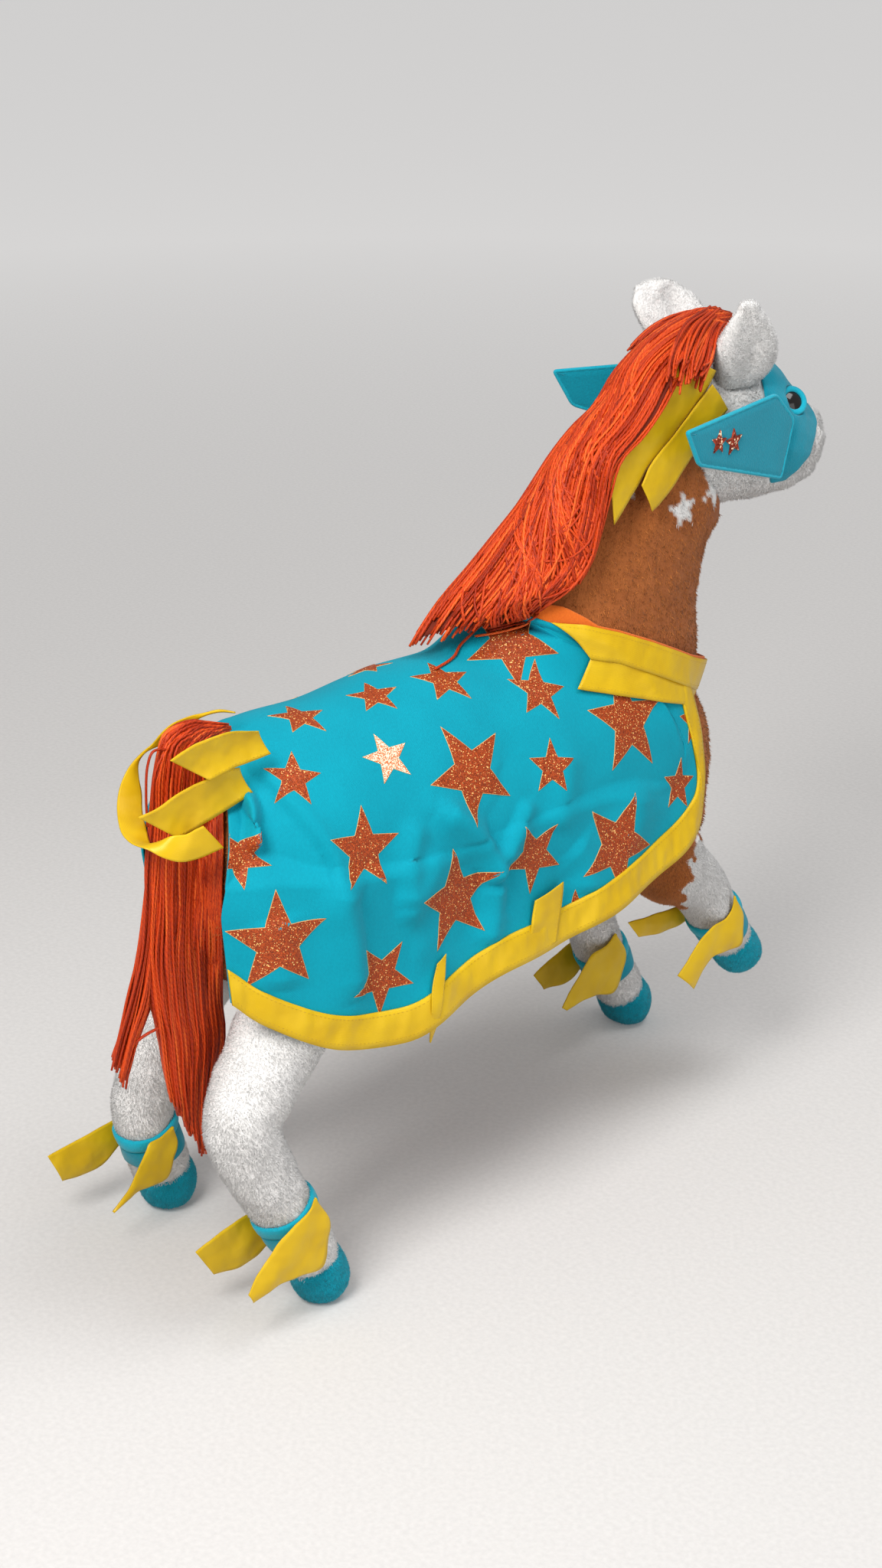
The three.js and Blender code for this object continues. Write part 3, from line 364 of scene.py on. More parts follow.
def attribute(obj, name, values, kind="FLOAT_COLOR"):
    a = obj.data.attributes.get(name) or obj.data.attributes.new(name, kind, "POINT")
    v = np.asarray(values, np.float32)
    if kind == "FLOAT":
        a.data.foreach_set("value", v)
    else:
        a.data.foreach_set("color", np.c_[v, np.ones(len(v), np.float32)].ravel())


def uv_map(obj, uv_of_vertex, name="cloth"):
    """A map that gives each corner of a face the value of its point."""
    layer = obj.data.uv_layers.new(name=name)
    index = np.zeros(len(obj.data.loops), np.int32)
    obj.data.loops.foreach_get("vertex_index", index)
    layer.data.foreach_set("uv", np.asarray(uv_of_vertex, np.float32)[index].ravel())


# Noise that is the same at each run

def wobble(points, scale, seed=0, octaves=2):
    """Smooth noise from -1 to 1 at points in metres. Scale is the size of its waves in metres."""
    rng = np.random.default_rng(seed)
    total = np.zeros(len(points))
    for k in range(octaves):
        for _ in range(5):
            d = unit(rng.normal(size=3)) * (2 * np.pi / scale) * (1.7 ** k) * rng.uniform(0.6, 1.3)
            total += np.sin(points @ d + rng.uniform(0, 6.28)) / (1.6 ** k)
    return total / 4.0


def wobble_grid(places, scale, seed):
    """The same noise on a grid of places in mm."""
    return wobble(metres(places.reshape(-1, 3)), scale, seed).reshape(places.shape[:-1])


# Materials

def new_material(name):
    m = bpy.data.materials.new(name)
    m.use_nodes = True
    return m, m.node_tree, m.node_tree.nodes["Principled BSDF"]


def put(tree, target, inputs):
    """Gives a node's inputs their values, or links them to the outputs that are given."""
    for socket, value in inputs.items():
        if isinstance(value, bpy.types.NodeSocket):
            tree.links.new(value, target.inputs[socket])
        else:
            target.inputs[socket].default_value = value


def node(tree, kind, inputs=(), **settings):
    """A new node with its settings and inputs."""
    n = tree.nodes.new(kind)
    for k, v in settings.items():
        setattr(n, k, v)
    put(tree, n, dict(inputs))
    return n


def maths(tree, operation, a, b=None, clamp=False):
    inputs = {0: a} if b is None else {0: a, 1: b}
    return node(tree, "ShaderNodeMath", inputs, operation=operation, use_clamp=clamp).outputs[0]


def vector_maths(tree, operation, a, b=None):
    inputs = {0: a} if b is None else {0: a, 1: b}
    return node(tree, "ShaderNodeVectorMath", inputs, operation=operation).outputs[0]


def summed(tree, *terms, clamp=False):
    """The sum of values, each times its share."""
    parts = [maths(tree, "MULTIPLY", value, share) for value, share in terms]
    made = parts[0]
    for part in parts[1:]:
        made = maths(tree, "ADD", made, part, clamp and part is parts[-1])
    return made


def ramp(tree, value, stops):
    n = node(tree, "ShaderNodeValToRGB", {0: value})
    while len(n.color_ramp.elements) < len(stops):
        n.color_ramp.elements.new(0.5)
    for e, (at, colour) in zip(n.color_ramp.elements, stops):
        e.position = at
        e.color = (*colour, 1)
    return n.outputs[0]


def mixed(tree, share, *colours):
    a, b = [(*c, 1) if isinstance(c, tuple) else c for c in colours]
    return node(tree, "ShaderNodeMix", {0: share, 6: a, 7: b}, data_type="RGBA").outputs[2]


def object_place(tree):
    return node(tree, "ShaderNodeTexCoord").outputs["Object"]


def noise(tree, scale, detail=2.0, place=None):
    inputs = {"Vector": place or object_place(tree), "Scale": scale, "Detail": detail}
    return node(tree, "ShaderNodeTexNoise", inputs).outputs[0]


def bump(tree, height, strength, distance, normal=None):
    inputs = {"Height": height, "Strength": strength, "Distance": distance}
    if normal is not None:
        inputs["Normal"] = normal
    return node(tree, "ShaderNodeBump", inputs).outputs[0]


def plush_material(name, root, tip, patch_root_shade=None, patch_tip=None, sheen=0.5, subsurface=0.0, cloudy=0.35):
    """Pile. The attribute 'pile' holds a strand's own shade, the place from root to tip, and the share of the patch."""
    m, tree, shader = new_material(name)
    pile = node(tree, "ShaderNodeAttribute", attribute_name="pile").outputs["Color"]
    shade, height, patch = node(tree, "ShaderNodeSeparateColor", {0: pile}).outputs
    cloud = maths(tree, "SUBTRACT", noise(tree, 60.0, 3.0), 0.5)
    # colour runs from the dark root colour at a blade's foot to the tip colour: painted shade deep in the pile
    level = summed(tree, (height, 0.5), (shade, 0.6), (cloud, cloudy), clamp=True)
    colour = mixed(tree, level, root, tip)
    if patch_root_shade:
        colour = mixed(tree, patch, colour, mixed(tree, level, patch_root_shade, patch_tip))
    put(tree, shader, {"Base Color": colour, "Roughness": 0.85, "Specular IOR Level": 0.2, "Sheen Weight": sheen,
                       "Sheen Roughness": 0.5, "Normal": bump(tree, noise(tree, 900.0, 3.0), 0.5, 0.0006)})
    if subsurface:
        put(tree, shader, {"Subsurface Weight": subsurface, "Subsurface Radius": (0.002, 0.002, 0.002)})
    return m


def cloth_material(name, dark, light, sheen, weave=4200.0):
    """Woven cloth, with a weave of so many radians to the metre."""
    m, tree, shader = new_material(name)
    place = object_place(tree)
    cloud, grain = noise(tree, 22.0, 4.0, place), noise(tree, 700.0, 2.0, place)
    level = summed(tree, (cloud, 0.6), (grain, 0.4), clamp=True)
    x, y, z = node(tree, "ShaderNodeSeparateXYZ", {0: place}).outputs
    across = maths(tree, "SINE", maths(tree, "MULTIPLY", maths(tree, "ADD", y, x), weave))
    down = maths(tree, "SINE", maths(tree, "MULTIPLY", z, weave))
    threads = maths(tree, "MULTIPLY", maths(tree, "MULTIPLY", across, down), 0.5)
    normal = bump(tree, maths(tree, "ADD", threads, grain), 0.25, 0.0003)
    put(tree, shader, {"Base Color": mixed(tree, level, dark, light), "Roughness": 0.78, "Sheen Weight": sheen,
                       "Specular IOR Level": 0.15, "Normal": normal})
    return m


def satin_material(name, dark, light):
    """Satin, with fine threads along the ribbon."""
    m, tree, shader = new_material(name)
    soft = noise(tree, 45.0, 2.0)
    line = node(tree, "ShaderNodeUVMap", uv_map="cloth").outputs[0]
    across = node(tree, "ShaderNodeSeparateXYZ", {0: line}).outputs[0]
    threads = maths(tree, "SINE", maths(tree, "MULTIPLY", across, 9000.0))
    level = summed(tree, (soft, 0.9), (threads, 0.06), clamp=True)
    normal = bump(tree, threads, 0.15, 0.00012, bump(tree, soft, 0.5, 0.004))
    put(tree, shader, {"Base Color": mixed(tree, level, dark, light), "Roughness": 0.34, "Specular IOR Level": 0.55,
                       "Specular Tint": (1.0, 0.86, 0.45, 1.0), "Normal": normal})
    return m


def yarn_material(name, ply_length=0.0042):
    """Two-ply yarn: the map runs round the strand and along it, and the plies wind across it."""
    m, tree, shader = new_material(name)
    line = node(tree, "ShaderNodeUVMap", uv_map="ply").outputs[0]
    parts = node(tree, "ShaderNodeSeparateXYZ", {0: line}).outputs
    turn = summed(tree, (parts[0], 2 * math.pi), (parts[1], math.pi / ply_length))
    ply = maths(tree, "ABSOLUTE", maths(tree, "SINE", turn))
    strand = node(tree, "ShaderNodeAttribute", attribute_name="tint").outputs["Fac"]
    fuzz = noise(tree, 1100.0, 2.0)
    # the plies are painted darker toward the grooves between them, as shade in the twist; each strand's tint spreads
    # from near black to bright orange, partly a tone of its own and partly painted shade
    level = summed(tree, (ply, 0.16), (strand, 0.62), (fuzz, 0.3), clamp=True)
    colour = ramp(tree, level, [(0.0, (0.14, 0.008, 0.001)), (0.4, (0.44, 0.030, 0.002)), (0.75, (0.70, 0.070, 0.006)),
                                (1.0, (0.90, 0.17, 0.025))])
    height = maths(tree, "ADD", ply, maths(tree, "MULTIPLY", fuzz, 0.5))
    put(tree, shader, {"Base Color": colour, "Roughness": 0.5, "Specular IOR Level": 0.3,
                       "Normal": bump(tree, height, 0.5, 0.0004)})
    return m


def glitter_material(name, dark, base, spark, flake=2100.0, sparks=0.95):
    """Flakes that each lean their own way, so that they glint, and some of them painted bright as glints."""
    m, tree, shader = new_material(name)
    place = object_place(tree)
    cells, coarse = [node(tree, "ShaderNodeTexVoronoi", {"Vector": place, "Scale": scale}, feature="F1").outputs
                     for scale in (flake, flake * 0.42)]
    r, g, b = node(tree, "ShaderNodeSeparateColor", {0: cells["Color"]}).outputs
    chance = node(tree, "ShaderNodeSeparateColor", {0: coarse["Color"]}).outputs[0]
    near = maths(tree, "LESS_THAN", coarse["Distance"], 0.40)
    large = maths(tree, "MULTIPLY", near, maths(tree, "GREATER_THAN", chance, 1 - (1 - sparks) * 1.3))
    # the hot flakes take the spark colour: painted glints, beside the real glints of the leaning flakes
    hot = maths(tree, "MAXIMUM", maths(tree, "GREATER_THAN", g, sparks), large)
    tilt = vector_maths(tree, "SUBTRACT", cells["Color"], (0.5, 0.5, 0.5))
    tilt = node(tree, "ShaderNodeVectorMath", {0: tilt, "Scale": 0.8}, operation="SCALE").outputs[0]
    lean = vector_maths(tree, "ADD", node(tree, "ShaderNodeNewGeometry").outputs["Normal"], tilt)
    put(tree, shader, {"Base Color": mixed(tree, hot, mixed(tree, r, dark, base), spark), "Specular IOR Level": 0.35,
                       "Roughness": maths(tree, "ADD", maths(tree, "MULTIPLY", b, 0.3), 0.35),
                       "Normal": vector_maths(tree, "NORMALIZE", lean)})
    return m


def plain_material(name, colour, rough, metal=0.0, coat=0.0, bumpy=0.0):
    m, tree, shader = new_material(name)
    grain = noise(tree, 300.0, 2.0)
    darker = tuple(c * 0.8 for c in colour)
    put(tree, shader, {"Base Color": mixed(tree, grain, darker, colour), "Roughness": rough, "Metallic": metal,
                       "Coat Weight": coat})
    if bumpy:
        put(tree, shader, {"Normal": bump(tree, grain, bumpy, 0.0004)})
    return m


def felt_material(name, dark, light):
    m, tree, shader = new_material(name)
    place = object_place(tree)
    fibre = noise(tree, 520.0, 4.0, vector_maths(tree, "MULTIPLY", place, (1.0, 2.2, 1.4)))
    level = summed(tree, (fibre, 0.7), (noise(tree, 40.0, 3.0, place), 0.3), clamp=True)
    put(tree, shader, {"Base Color": mixed(tree, level, dark, light), "Roughness": 0.88, "Sheen Weight": 0.18,
                       "Specular IOR Level": 0.2, "Normal": bump(tree, fibre, 0.6, 0.0006)})
    return m


# Each pile's root colour is darker than its tip colour: painted shade down among the blades.
BROWN_ROOT_SHADE, BROWN_TIP = (0.15, 0.028, 0.005), (0.74, 0.25, 0.06)
WHITE_ROOT_SHADE, WHITE_TIP = (0.80, 0.785, 0.77), (0.96, 0.955, 0.95)
BROWN = plush_material("brown_pile", BROWN_ROOT_SHADE, BROWN_TIP, WHITE_ROOT_SHADE, WHITE_TIP, sheen=0.12)
WHITE = plush_material("white_pile", WHITE_ROOT_SHADE, WHITE_TIP, BROWN_ROOT_SHADE, BROWN_TIP, sheen=0.08, subsurface=0.06,
                       cloudy=0.1)
# the turquoise pile is painted darker toward its root as well, as shade in the pile
HOOF = plush_material("turquoise_pile", (0.0, 0.20, 0.29), (0.005, 0.55, 0.72), sheen=0.12)
RUG = cloth_material("rug_cloth", (0.0, 0.22, 0.31), (0.0, 0.40, 0.53), sheen=0.03)
SATIN = satin_material("satin", (0.58, 0.34, 0.003), (0.84, 0.57, 0.014))
THREAD = plain_material("gold_thread", (0.66, 0.42, 0.02), 0.6, bumpy=0.4)
YARN = yarn_material("yarn")
YARN_SHADOW = plain_material("yarn_shadow", (0.20, 0.018, 0.003), 0.9)
FELT = felt_material("turquoise_felt", (0.0, 0.19, 0.28), (0.0, 0.34, 0.46))
# A lighter copy of the turquoise felt for rolled edges, piping and the cuffs' raised upper band: painted highlight
# where they catch the light.
FELT_EDGE_HIGHLIGHT = felt_material("felt_edge_highlight", (0.0, 0.28, 0.40), (0.01, 0.46, 0.60))
ORANGE = felt_material("orange_felt", (0.62, 0.09, 0.008), (0.90, 0.22, 0.02))
GLITTER = glitter_material("star_glitter", (0.17, 0.020, 0.002), (0.52, 0.075, 0.006), (1.0, 0.60, 0.20), sparks=0.965)
BRIGHT_GLITTER = glitter_material("bright_glitter", (0.62, 0.12, 0.03), (0.85, 0.30, 0.12), (1.0, 0.82, 0.62),
                                  sparks=0.62)
GEM = glitter_material("gem_glitter", (0.10, 0.008, 0.004), (0.45, 0.05, 0.012), (1.0, 0.75, 0.5), flake=900.0,
                       sparks=0.86)
STAR_EDGE = plain_material("star_edge", (0.80, 0.42, 0.14), 0.5)
EYE = plain_material("eye_gloss", (0.008, 0.006, 0.006), 0.12, coat=0.2)
STEEL = plain_material("steel_wire", (0.5, 0.5, 0.5), 0.35, metal=1.0, bumpy=0.1)


def dress(obj, material, body):
    """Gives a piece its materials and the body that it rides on."""
    obj.data.materials.clear()
    for m in material if isinstance(material, (list, tuple)) else [material]:
        obj.data.materials.append(m)
    if body:
        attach(obj, body)


# Pile: short blades that lean along the nap

def pile(name, skin, count, length, nap, cover, patch, lean, width, seed, spread, clump):
    """Blades of pile on a skin. Lengths are in millimetres.

    nap gives directions at places, cover the share of blades that places and normals have, and patch that of the
    second colour. The blades rise by lean, turn aside by spread, and stand in locks by clump.
    """
    rng = np.random.default_rng(seed)
    tri, co, vn = triangles_of(skin), points_of(skin), normals_of(skin)
    a, b, c = co[tri[:, 0]], co[tri[:, 1]], co[tri[:, 2]]
    area = np.linalg.norm(np.cross(b - a, c - a), axis=1) / 2
    if cover is not None:
        area = area * cover((a + b + c) / 3, unit(np.cross(b - a, c - a)))
    pick = rng.choice(len(tri), size=count, p=area / area.sum())
    s, t = rng.random(count), rng.random(count)
    flip = s + t > 1
    s[flip], t[flip] = 1 - s[flip], 1 - t[flip]
    s, t = s[:, None], t[:, None]
    root = a[pick] + (b - a)[pick] * s + (c - a)[pick] * t
    n = unit(vn[tri[pick, 0]] * (1 - s - t) + vn[tri[pick, 1]] * s + vn[tri[pick, 2]] * t)
    d = nap(root)
    d = unit(d - n * (d * n).sum(1, keepdims=True))
    side = np.cross(n, d)
    lock = wobble(root, 0.0055, seed + 900, 2)
    turn = (rng.normal(0, spread, count) + clump * wobble(root, 0.007, seed + 901, 2))[:, None]
    d, side = d * np.cos(turn) + side * np.sin(turn), side * np.cos(turn) - d * np.sin(turn)
    size = (length * 0.001 * rng.uniform(0.65, 1.25, count) * (1 + 0.25 * clump * lock))[:, None]
    w = (width * 0.001 * rng.uniform(0.7, 1.3, count) * 0.6)[:, None]
    up = np.clip(lean + rng.normal(0, 0.12, count), 0.12, 1.0)[:, None]
    blade = n * up * 0.9 + d * (1 - up) * 1.15
    third = np.cross(unit(blade), side)
    foot = root - n * 0.0004
    corners = [foot + w * (side * math.cos(a) + third * math.sin(a))
               for a in (math.pi / 2, math.pi * 7 / 6, -math.pi / 6)]
    points = np.stack(corners + [root + size * blade], 1).reshape(-1, 3)
    base = np.arange(count)[:, None] * 4
    faces = np.vstack([base + [0, 1, 3], base + [1, 2, 3], base + [2, 0, 3]])
    obj = mesh_object(name, points, faces)
    # each blade's shade is a random tone, and its lock makes it lighter or darker with its neighbours, as painted light
    # and shade of the clumps; the foot is marked low so that the material paints it darker, as shade among the blades
    shade = np.repeat(np.clip(rng.normal(0.5, 0.16, count) + clump * 0.55 * lock, 0, 1), 4)
    height = np.tile([0.2, 0.2, 0.2, 1.0], count)
    kind = np.repeat(patch(root) if patch is not None else np.zeros(count), 4)
    attribute(obj, "pile", np.c_[shade, height, kind])
    # a blade is lit nearly as the skin under it, so that the pile looks soft
    own = rng.normal(0, 0.15, (count, 3))
    lit = np.stack([unit(n + own)] * 3 + [unit(n + 0.35 * d + 1.6 * own)], 1).reshape(-1, 3)
    obj.data.normals_split_custom_set_from_vertices(lit.tolist())
    return obj


def tint_skin(skin, patch=None):
    """The skin under the pile has the dark colour of the foot of its blades: painted shade under the pile."""
    co = points_of(skin)
    kind = patch(co) if patch is not None else np.zeros(len(co))
    attribute(skin, "pile", np.c_[np.full(len(co), 0.4), np.full(len(co), 0.25), kind])


def uneven_nap(direction, rough, scale, seed):
    """A nap that lies one way, or by a function of places, made uneven."""
    def nap(p):
        way = direction(p) if callable(direction) else np.tile(direction, (len(p), 1))
        return way + rough * np.stack([wobble(p, scale, seed + k) for k in range(3)], -1)
    return nap


# Yarn

def strands(name, paths, radius, sides, seed, steps, taper=0.85):
    """Tubes of yarn along paths of points in millimetres."""
    rng = np.random.default_rng(seed)
    points, quads, tris, uvs, tints, base = [], [], [], [], [], 0
    angle = 2 * np.pi * np.arange(sides) / sides
    for path in paths:
        mid = metres(spline(path)(np.linspace(0, 1, steps)))
        along = unit(np.gradient(mid, axis=0))
        ref = unit(np.cross(along, np.where(np.abs(along[:, :1]) > 0.8, [[0.0, 1.0, 0.0]], [[1.0, 0.0, 0.0]])))
        other = np.cross(along, ref)
        r = radius * 0.001 * rng.uniform(0.85, 1.15) * np.ones(steps)
        r[[0, -1]] *= taper
        ring = (mid[:, None] + r[:, None, None] * (np.cos(angle)[None, :, None] * ref[:, None]
                + np.sin(angle)[None, :, None] * other[:, None]))
        points += [ring.reshape(-1, 3), mid[[0, -1]]]
        sets = tube_faces(steps, sides)
        quads.append(sets[0] + base)
        tris.append(sets[1] + base)
        run = run_of(mid)
        uvs.append(np.stack([np.broadcast_to(np.arange(sides) / sides, (steps, sides)),
                             np.broadcast_to(run[:, None], (steps, sides))], -1).reshape(-1, 2))
        uvs.append(np.array([[0, run[0]], [0, run[-1]]]))
        tints.append(np.full(steps * sides + 2, np.clip(rng.normal(0.5, 0.33), 0, 1)))
        base += steps * sides + 2
    obj = mesh_object(name, np.vstack(points), [np.vstack(quads), np.vstack(tris)])
    attribute(obj, "tint", np.concatenate(tints), "FLOAT")
    uv_map(obj, np.vstack(uvs), "ply")
    return obj


# Ribbons and stitches

def stitches(rows, length=1.5, gap=1.0, thick=0.32):
    """Small stitches along lines: each row is points and outward normals in metres. Returns points and triangles."""
    points, faces, base = [], [], 0
    for line, normal in rows:
        run = run_of(line)
        count = int(run[-1] / ((length + gap) * 0.001))
        for k in range(count):
            s = (k + 0.5) * (length + gap) * 0.001
            ends = [np.array([np.interp(s + e * length * 0.0005, run, line[:, i]) for i in range(3)]) for e in (-1, 1)]
            n = unit(np.array([np.interp(s, run, normal[:, i]) for i in range(3)]))
            mid = (ends[0] + ends[1]) / 2
            side = unit(np.cross(ends[1] - ends[0], n)) * thick * 0.0005
            top = mid + n * thick * 0.0006
            points += [ends[0], ends[1], mid - side, mid + side, top, mid - n * 0.0001]
            b = base
            faces += [[b, b + 2, b + 4], [b + 2, b + 1, b + 4], [b + 1, b + 3, b + 4], [b + 3, b, b + 4],
                      [b + 2, b, b + 5], [b + 1, b + 2, b + 5], [b + 3, b + 1, b + 5], [b, b + 3, b + 5]]
            base += 6
    return np.array(points).reshape(-1, 3), np.array(faces, int).reshape(-1, 3)


def strip(name, outer, inner, uv, sewing, body, nodes, materials=(SATIN, THREAD)):
    """A strip of cloth between two grids of places in metres, with its map and its stitches."""
    co, quads = shell(outer, inner)
    sp, sf = sewing
    obj = mesh_object(name, np.vstack([co, sp]), [quads, sf + len(co)])
    uv_map(obj, np.vstack([uv, uv, np.zeros((len(sp), 2))]))
    dress(obj, materials, body)
    give_second(obj, np.arange(len(obj.data.polygons)) >= len(quads))
    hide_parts(*nodes)
    return obj


def satin(name, first, second, body, nodes, bow=0.4, ripple=0.5, sewn=True, seed=3, thick=0.5, across=14):
    """A satin ribbon between its two long edges, in millimetres."""
    A, B = spline(first), spline(second)
    size = np.linalg.norm(np.diff((A(np.linspace(0, 1, 30)) + B(np.linspace(0, 1, 30))) / 2, axis=0), axis=1).sum()
    t = np.linspace(0, 1, int(max(16, size / 1.3)))
    a, b = A(t), B(t)
    w = np.linspace(0, 1, across)
    middle = a[:, None] * (1 - w)[None, :, None] + b[:, None] * w[None, :, None]
    along = unit(np.gradient(middle, axis=0))
    face = unit(np.cross(along, unit(b - a + 1e-9)[:, None]))
    lift = ripple * wobble_grid(middle, 0.03, seed)
    lift += 0.25 * ripple * wobble_grid(middle, 0.011, seed + 5)
    middle = middle + face * (lift + bow * 4 * w * (1 - w))[..., None]
    edge = np.minimum(w, 1 - w) < 0.06
    half = thick / 2 * np.where(edge, 1.35, 1.0)[None, :, None]
    outer, inner = metres(middle + face * half), metres(middle - face * half)
    width = np.linalg.norm(b - a, axis=1)[:, None] * 0.001
    run = run_of(middle[:, across // 2]) * 0.001
    uv = np.stack(np.broadcast_arrays(w[None, :] * width, run[:, None]), -1).reshape(-1, 2)
    rows = []
    for k in (1, across - 2) if sewn else ():
        rows.append((outer[:, k] + face[:, k] * 0.00003, face[:, k]))
        rows.append((inner[:, k] - face[:, k] * 0.00003, -face[:, k]))
    return strip(name, outer, inner, uv, stitches(rows), body, nodes)


def band(tree, centre, normal, heights, lifts, steps=120, reach=60.0):
    """Places on a band round a form, in millimetres, rows by columns, and the directions out of it."""
    n = unit(normal)
    x = unit(np.cross([0.0, 1.0, 0.0], n))
    y = np.cross(n, x)
    rows, outs = np.zeros((2, len(heights), steps, 3))
    for i, (h, lift) in enumerate(zip(heights, lifts)):
        for j, a in enumerate(np.linspace(0, 2 * math.pi * (steps - 1) / steps, steps)):
            d = x * math.cos(a) + y * math.sin(a)
            hit, nrm, _, _ = tree.ray_cast(Vector(metres(centre + n * h + d * reach)), Vector(-d))
            place = mm_of(hit) if hit is not None else centre + n * h + d * 20
            o = np.array(nrm) if hit is not None else d
            outs[i, j] = unit((o if o @ d > 0 else -o) * 0.5 + d * 0.5)
            rows[i, j] = place + outs[i, j] * lift
    return rows, outs


# Camera, lights and floor

camera = bpy.data.cameras.new("camera")
camera.lens, camera.sensor_width = FOCUS / (2 * MIDDLE[1]) * 36.0, 36.0
camera.clip_start, camera.clip_end = 0.05, 30.0
camera_object = bpy.data.objects.new("camera", camera)
bpy.context.scene.collection.objects.link(camera_object)
camera_object.location = metres(CAMERA)
camera_object.rotation_mode = "QUATERNION"
camera_object.rotation_quaternion = Vector(LOOK).to_track_quat("-Z", "Y")
bpy.context.scene.camera = camera_object
bpy.context.scene.view_settings.view_transform = "Standard"

world = bpy.data.worlds.new("studio")
bpy.context.scene.world = world
world.use_nodes = True
back = world.node_tree.nodes["Background"]
back.inputs[0].default_value = (1.0, 0.985, 0.975, 1)
WORLD_LIGHT, WORLD_SEEN = 0.33, 0.66
tree = world.node_tree
more = maths(tree, "MULTIPLY", node(tree, "ShaderNodeLightPath").outputs["Is Camera Ray"], WORLD_SEEN - WORLD_LIGHT)
tree.links.new(maths(tree, "ADD", more, WORLD_LIGHT), back.inputs[1])


def area_light(name, place, target, size, power, colour=(1, 1, 1)):
    light = bpy.data.lights.new(name, "AREA")
    light.shape = "RECTANGLE"
    light.size, light.size_y = size
    light.energy = power
    light.color = colour
    obj = bpy.data.objects.new(name, light)
    bpy.context.scene.collection.objects.link(obj)
    obj.location = place
    obj.rotation_mode = "QUATERNION"
    obj.rotation_quaternion = (Vector(target) - Vector(place)).to_track_quat("-Z", "Y")


area_light("key", (-0.45, 1.25, 1.5), (0.0, 0.0, 0.26), (0.7, 0.7), 28.0, (1.0, 0.98, 0.95))
area_light("top", (-0.5, -0.4, 1.9), (0.0, 0.0, 0.3), (0.9, 0.9), 12.0)
area_light("fill", (-1.9, 0.1, 0.7), (0.0, 0.0, 0.25), (1.5, 1.5), 9.0)

floor = mesh_object("floor", [(-6, -6, 0), (6, -6, 0), (6, 6, 0), (-6, 6, 0)], np.array([[0, 1, 2, 3]]))
floor_paint = plain_material("floor_paint", (0.70, 0.685, 0.675), 0.9, bumpy=0.05)
floor.data.materials.append(floor_paint)
floor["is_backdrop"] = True
# the floor looks paler to the camera alone, more so away from the object, so that its far end isn't dark
tree = floor_paint.node_tree
output = next(n for n in tree.nodes if n.type == "OUTPUT_MATERIAL")
place = node(tree, "ShaderNodeNewGeometry").outputs["Position"]
away = node(tree, "ShaderNodeVectorMath", {0: place}, operation="LENGTH").outputs["Value"]
grown = maths(tree, "MULTIPLY", maths(tree, "SUBTRACT", away, 0.7), 0.45, clamp=True)
pale = maths(tree, "ADD", maths(tree, "MULTIPLY", grown, 0.33), 0.08)
strength = maths(tree, "MULTIPLY", node(tree, "ShaderNodeLightPath").outputs["Is Camera Ray"], pale)
glow = node(tree, "ShaderNodeEmission", {"Strength": strength})
both = node(tree, "ShaderNodeAddShader", {0: output.inputs["Surface"].links[0].from_socket, 1: glow.outputs[0]})
tree.links.new(both.outputs[0], output.inputs["Surface"])
floor.location.z = -0.0002


# The body's forms

TORSO = np.array([[b * BARREL, a * LENGTH, h * BACK, w * BARREL, d * BACK, LENGTH * 0.042] for a, h, w, d, b in [
    [0.04, 0.8, 0.32, 0.148, -0.06], [-0.03, 0.775, 0.43, 0.226, -0.06], [-0.16, 0.752, 0.48, 0.246, -0.055],
    [-0.34, 0.75, 0.493, 0.248, -0.04], [-0.52, 0.742, 0.487, 0.248, -0.025], [-0.68, 0.71, 0.453, 0.258, -0.01],
    [-0.785, 0.69, 0.393, 0.25, 0], [-0.84, 0.692, 0.3, 0.185, 0]]])
NECK = [[(-0.39, 0.84), (-0.985, 0.6), 0.355], [(-0.514, 0.9), (-1.018, 0.745), 0.32],
        [(-0.631, 1.0), (-1.012, 0.853), 0.28], [(-0.748, 1.105), (-1.02, 0.93), 0.262],
        [(-0.865, 1.2), (-1.06, 0.985), 0.252]]


def neck_form(sides=64, steps=50):
    """The neck between its back line and its front line. Returns points and faces."""
    back_line = spline([(0, a * REACH, b * HEAD_HEIGHT) for (a, b), _, _ in NECK])
    front_line = spline([(0, a * REACH, b * HEAD_HEIGHT) for _, (a, b), _ in NECK])
    half = spline([(w * BARREL, 0, 0) for _, _, w in NECK])
    angle = 2 * np.pi * np.arange(sides) / sides
    rings = []
    for k in range(steps + 1):
        a, b = back_line(k / steps), front_line(k / steps)
        up = unit(b - a)
        depth, width = np.linalg.norm(b - a) / 2, half(k / steps)[0]
        rings.append((a + b) / 2 + np.outer(np.cos(angle) * width, [1, 0, 0]) + np.outer(np.sin(angle) * depth, up))
    return closed_tube(rings)


